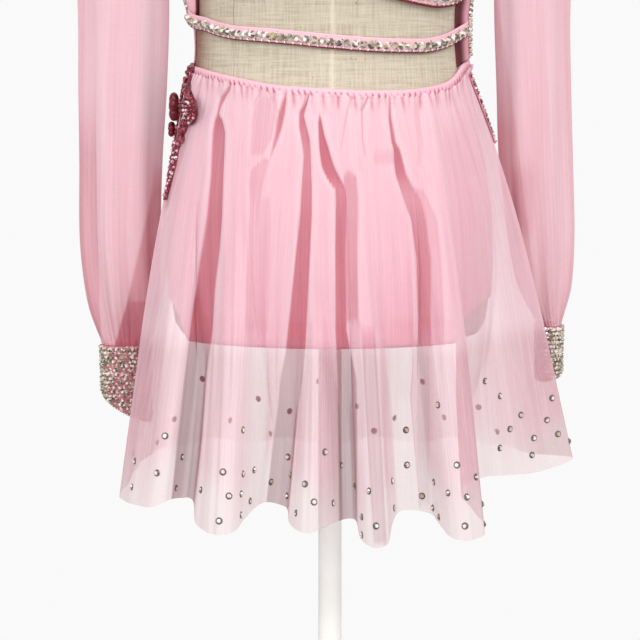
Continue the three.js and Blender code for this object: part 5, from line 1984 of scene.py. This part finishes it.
@dataclass(frozen=True)
class Sleeve:
    """A long full sleeve of sheer mesh, gathered into its cuff."""

    name: str
    rings: tuple
    turn: float
    cut: tuple = (0.23, 0.5)
    gathers: int = 30

    def place(self, u: np.ndarray, v: np.ndarray) -> tuple[Points, Masks]:
        """Lays the sleeve's cloth round its rings, from the armhole down."""
        angle = u * math.tau
        last = len(self.rings) - 1
        ring = spline(np.array(self.rings, float), np.clip(v, 0, 1) * last, False)
        x, y, z, lean, wide, deep, fold = ring.T
        row = v * last
        soft = fold * np.cos(SLEEVE_FOLDS * angle + 0.4 * row)
        low = smooth(row, 8.6, 11)
        high = smooth(-row, -2.2, -0.2)
        rng = np.random.default_rng(17 if self.turn < 0 else 19)
        crimp = np.zeros_like(angle)
        for i in range(self.gathers):
            centre = (i + rng.uniform(-0.3, 0.3)) * math.tau / self.gathers
            apart = (angle - centre + math.pi) % math.tau - math.pi
            reach = rng.uniform(0.8, 3.2)
            depth = rng.uniform(0.5, 1.4)
            near = np.exp(-(((last - row) / reach) ** 1.6))
            crimp -= depth * np.exp(-((apart / 0.06) ** 2)) * np.maximum(near, 0.6 * high)
        tight = smooth(-np.abs(row - last), -0.35, 0)
        grow = soft * (1 - tight) + crimp * (1 - 0.5 * tight) - MESH_THICK / 2
        grow += 0.5 * np.sin(3 * angle + 0.9 * row) * smooth(row, 3, 6) * (1 - low)
        outward = (wide + grow) * np.cos(angle)
        tilt = np.radians(lean)
        px = x + self.turn * outward * np.cos(tilt)
        py = y + (deep + grow) * np.sin(angle)
        pz = z + outward * np.sin(tilt)
        body = FORM.read(pz)
        off = BODICE_GAP + SHOULDER_EASE * smooth(pz, 745, 785) + BODICE_THICK + BAND_GAP
        inside = np.sqrt(np.clip(1 - (py / (body["deep"] + off)) ** 2, 0, 1))
        head = self.turn * (body["wide"] + off) * inside
        px = px + (head - px) * smooth(-row, -0.5, 0)
        front = smooth(-np.sin(angle), -0.2, 0.2)
        # Painted shade along the folds and in the gathers above the cuff.
        tone = self.tone(px, pz, front, -crimp)
        near = -px if self.turn < 0 else px
        # Painted highlight on the side that faces the body.
        bright = 0.8 * smooth(-near, -148, -137) * smooth(pz, 425 if self.turn < 0 else 462, 480)
        masks = {"tone": tone, "swell": 1 + 0 * u, "gather": 0.3 * low + 0.3 * high, "lit": bright}
        return np.column_stack([px, py, pz]), masks

    def tone(self, x: np.ndarray, z: np.ndarray, front: np.ndarray, crimp: np.ndarray) -> np.ndarray:
        """Paints shade on the sleeve where its folds turn from the light and in the gathers above the cuff.

        Args:
            x: Points across.
            z: Heights.
            front: 1 on the front half.
            crimp: The depth of the gathers.

        Returns:
            The painted shade, from 0 to 1.
        """
        if self.turn < 0:
            strip = 0.5 * smooth(-x, 178.8, 180.0) * smooth(-z, -500, -440)
            fold = np.interp(z, [293, 330, 369, 396, 420, 560], [-169.5, -158.2, -148.9, -142.4, -138.4, -131])
            inner = smooth(x - fold, -1.2, 1.6) * smooth(-z, -450, -412)
            tone = np.maximum(strip, 0.72 * inner)
            tone = tone + 0.35 * inner * smooth(-z, -333.5, -331)
        else:
            fold = np.interp(z, [310, 411, 504, 565, 700], [166, 150.4, 137.8, 128.2, 118])
            tone = 0.34 * smooth(fold - x, -1.6, 1.6) + 0.2 * smooth(-x, -139, -134) * smooth(-z, -520, -470)
            patch = smooth(x, 140, 145) * smooth(-x, -162, -154) * smooth(z, 372, 392) * smooth(-z, -452, -425)
            tone = tone + 0.34 * patch
        tone = tone * (0.35 + 0.65 * front)
        return np.clip(tone + (0.55 if self.turn < 0 else 0.3) * crimp * smooth(-z, -400, -335), 0, 1)

    def build(self) -> None:
        """Builds the sleeve."""
        middle = np.array(self.rings, float)[3:, :2].mean(0)
        plan = SheetPlan(
            self.name + "_mesh", 260, 150, self.place, self.cut, looped=True, around=(middle[0], middle[1])
        )
        obj = finish_piece(build_sheet(plan), SLEEVE_MESH, [self.name])


@dataclass(frozen=True)
class Cuff:
    """A cuff covered with small stones over pink cloth."""

    name: str
    x: float
    y: float
    wide: float
    deep: float
    top: float
    outer: float
    inner: float
    taper: float
    turn: float
    pitch: float = 3.9

    def placer(self, extra: float) -> Place:
        """Returns the place function of the cuff's cloth."""

        def place(u: np.ndarray, v: np.ndarray) -> tuple[Points, Masks]:
            angle = u * math.tau
            inward = (1 - np.cos(angle)) / 2
            edge = self.outer + (self.inner - self.outer) * inward**0.6
            size = 1 + (self.taper - 1) * v
            px = self.x + self.turn * (self.wide * size - 0.75 + extra) * np.cos(angle)
            py = self.y + (self.deep * size - 0.75 + extra) * np.sin(angle)
            return np.column_stack([px, py, self.top + (edge - self.top) * v]), {"tone": 0.9 + 0 * u}

        return place

    def build(self) -> None:
        """Builds the cuff's cloth and its stones."""
        plan = SheetPlan(
            self.name + "_cloth", 96, 16, self.placer(0), (0.117, 0.05), looped=True,
            around=(self.x, self.y), thick=1.1,
        )
        obj = finish_piece(build_sheet(plan), PINK_BAND, [self.name])
        around = math.pi * (self.wide + self.deep)
        face = SheetPlan("face", 1, 1, self.placer(0.7), (1, 1), around=(self.x, self.y))
        rng = np.random.default_rng(51 if self.turn < 0 else 52)
        stones = Stones(self.name + "_stones", seed=53, bright=0.0 if self.turn < 0 else 0.2)
        studs = Stones(self.name + "_studs", StoneCut(sides=6), 55, 0.85)
        beads = Stones(self.name + "_beads", StoneCut(sides=6), 54, 0.8)
        columns = round(around / self.pitch)
        longest = self.top - min(self.inner, self.outer)
        for line in range(int(longest / (self.pitch * 0.87))):
            u = (np.arange(columns) + 0.5 * (line % 2) + rng.uniform(-0.12, 0.12, columns)) / columns
            inward = (1 - np.cos(u * math.tau)) / 2
            edge = self.outer + (self.inner - self.outer) * inward**0.6
            v = (line + 0.55 + rng.uniform(-0.1, 0.1, columns)) * self.pitch * 0.87 / (self.top - edge)
            keep = v < 0.97
            place, facing = look_at(face, u[keep], v[keep])
            stones.add(place, facing, rng.uniform(3.2, 4.3, keep.sum()))
            proud = rng.random(keep.sum()) < 0.34
            studs.add(place[proud] + facing[proud] * 0.7, facing[proud], rng.uniform(2.2, 3.0, proud.sum()))
        u = np.arange(columns * 2) / (columns * 2)
        place, facing = look_at(face, u, np.full(len(u), 0.992))
        beads.add(place, facing, 1.9)
        place, facing = look_at(face, u[::3], np.full(len(u[::3]), 0.05))
        studs.add(place + facing * 0.7, facing, 2.8)
        for group in (stones, studs, beads):
            finish_piece(group.join(), CRYSTALS)


# Studio -----------------------------------------------------------------------------------------------


@dataclass(frozen=True)
class Studio:
    """A plain pale floor, soft lamps and the photo's camera."""

    half: float = 20.0
    pale: float = 0.95

    def seen_pale(self, wires: Wiring, kind: str, colour: tuple, output: str) -> None:
        """Makes a backdrop that looks evenly pale and lights the costume by its own colour."""
        light = wires.add(kind, Color=colour)
        glow = kind if kind == "ShaderNodeBackground" else "ShaderNodeEmission"
        seen = wires.add(glow, Color=(self.pale, self.pale, self.pale, 1))
        eye = wires.add("ShaderNodeLightPath").outputs["Is Camera Ray"]
        both = wires.add("ShaderNodeMixShader", i0=eye, i1=light.outputs[0], i2=seen.outputs[0])
        wires.add(output, Surface=both.outputs[0])

    def build(self) -> None:
        """Builds the floor, the lamps and the camera."""
        bm = bmesh.new()
        bmesh.ops.create_grid(bm, x_segments=2, y_segments=2, size=self.half)
        floor = show_bmesh("floor", bm)
        paper = bpy.data.materials.new("floor_paper")
        paper.use_nodes = True
        tree = paper.node_tree
        tree.nodes.clear()
        self.seen_pale(Wiring(tree), "ShaderNodeBsdfDiffuse", (0.5, 0.49, 0.48, 1), "ShaderNodeOutputMaterial")
        floor.data.materials.append(paper)
        world = bpy.data.worlds.new("studio")
        world.use_nodes = True
        world.node_tree.nodes.clear()
        grey = (0.68, 0.68, 0.68, 1)
        self.seen_pale(Wiring(world.node_tree), "ShaderNodeBackground", grey, "ShaderNodeOutputWorld")
        bpy.context.scene.world = world
        for name, azimuth, height, strength, spread in (
            ("key", 22, 40, 1.7, 50),
            ("fill", -42, 22, 0.8, 60),
            ("back", 170, 50, 0.4, 60),
        ):
            lamp = bpy.data.lights.new(name, "SUN")
            lamp.energy = strength
            lamp.angle = math.radians(spread)
            obj = bpy.data.objects.new(name, lamp)
            turn, rise = math.radians(azimuth), math.radians(height)
            toward = Vector((math.sin(turn) * math.cos(rise), -math.cos(turn) * math.cos(rise), math.sin(rise)))
            obj.rotation_euler = toward.to_track_quat("Z", "Y").to_euler()
            bpy.context.scene.collection.objects.link(obj)
        camera = bpy.data.cameras.new("camera")
        camera.sensor_width = 36
        camera.lens = LENS.focal / LENS.frame * camera.sensor_width
        camera.clip_end = 100
        obj = bpy.data.objects.new("camera", camera)
        obj.location = Vector(LENS.eye() * MM)
        obj.rotation_euler = (math.radians(90 - LENS.pitch), 0, 0)
        bpy.context.scene.collection.objects.link(obj)
        bpy.context.scene.camera = obj
        bpy.context.scene.view_settings.view_transform = "Standard"
        bpy.context.scene.cycles.transparent_max_bounces = 32


def main() -> None:
    """Builds the costume, its form and stand, and the studio."""
    Studio().build()
    DressForm().build()
    TableStand().build()
    Brief().build()
    Bodice().build()
    BackPanel().build()
    casing = Waistband().build()
    MidriffStrap().build()
    SideTrim("side_trim_right", RIGHT_EDGE, turn=1, lead=10, wide=0.044).build()
    SideTrim("side_trim_left", LEFT_EDGE, turn=-1, lead=5, wide=0.036).build()
    skirt = Skirt().build()
    HemStones().build(skirt)
    HipBeads().build(skirt, casing)
    HipTrim("hip_trim_left", LEFT_HIP, columns=6, lines=26, width=3.6, finish=WINE).build()
    HipTrim("hip_trim_right", RIGHT_HIP, columns=4, lines=16, width=3.4, finish=ROSE).build()
    HipFlowers().build()
    Sleeve("sleeve_left", tuple(LEFT_SLEEVE), -1).build()
    Sleeve("sleeve_right", tuple(RIGHT_SLEEVE), 1).build()
    Cuff(
        "cuff_left", x=-161, y=50, wide=19.8, deep=17.3, top=295.6, outer=258.5, inner=234, taper=0.95, turn=-1
    ).build()
    Cuff(
        "cuff_right", x=174.8, y=70, wide=10.2, deep=26.7, top=309.6, outer=272, inner=265, taper=0.96, turn=1
    ).build()


if __name__ == "__main__":
    logging.basicConfig(level=logging.INFO, format="%(message)s")
    main()
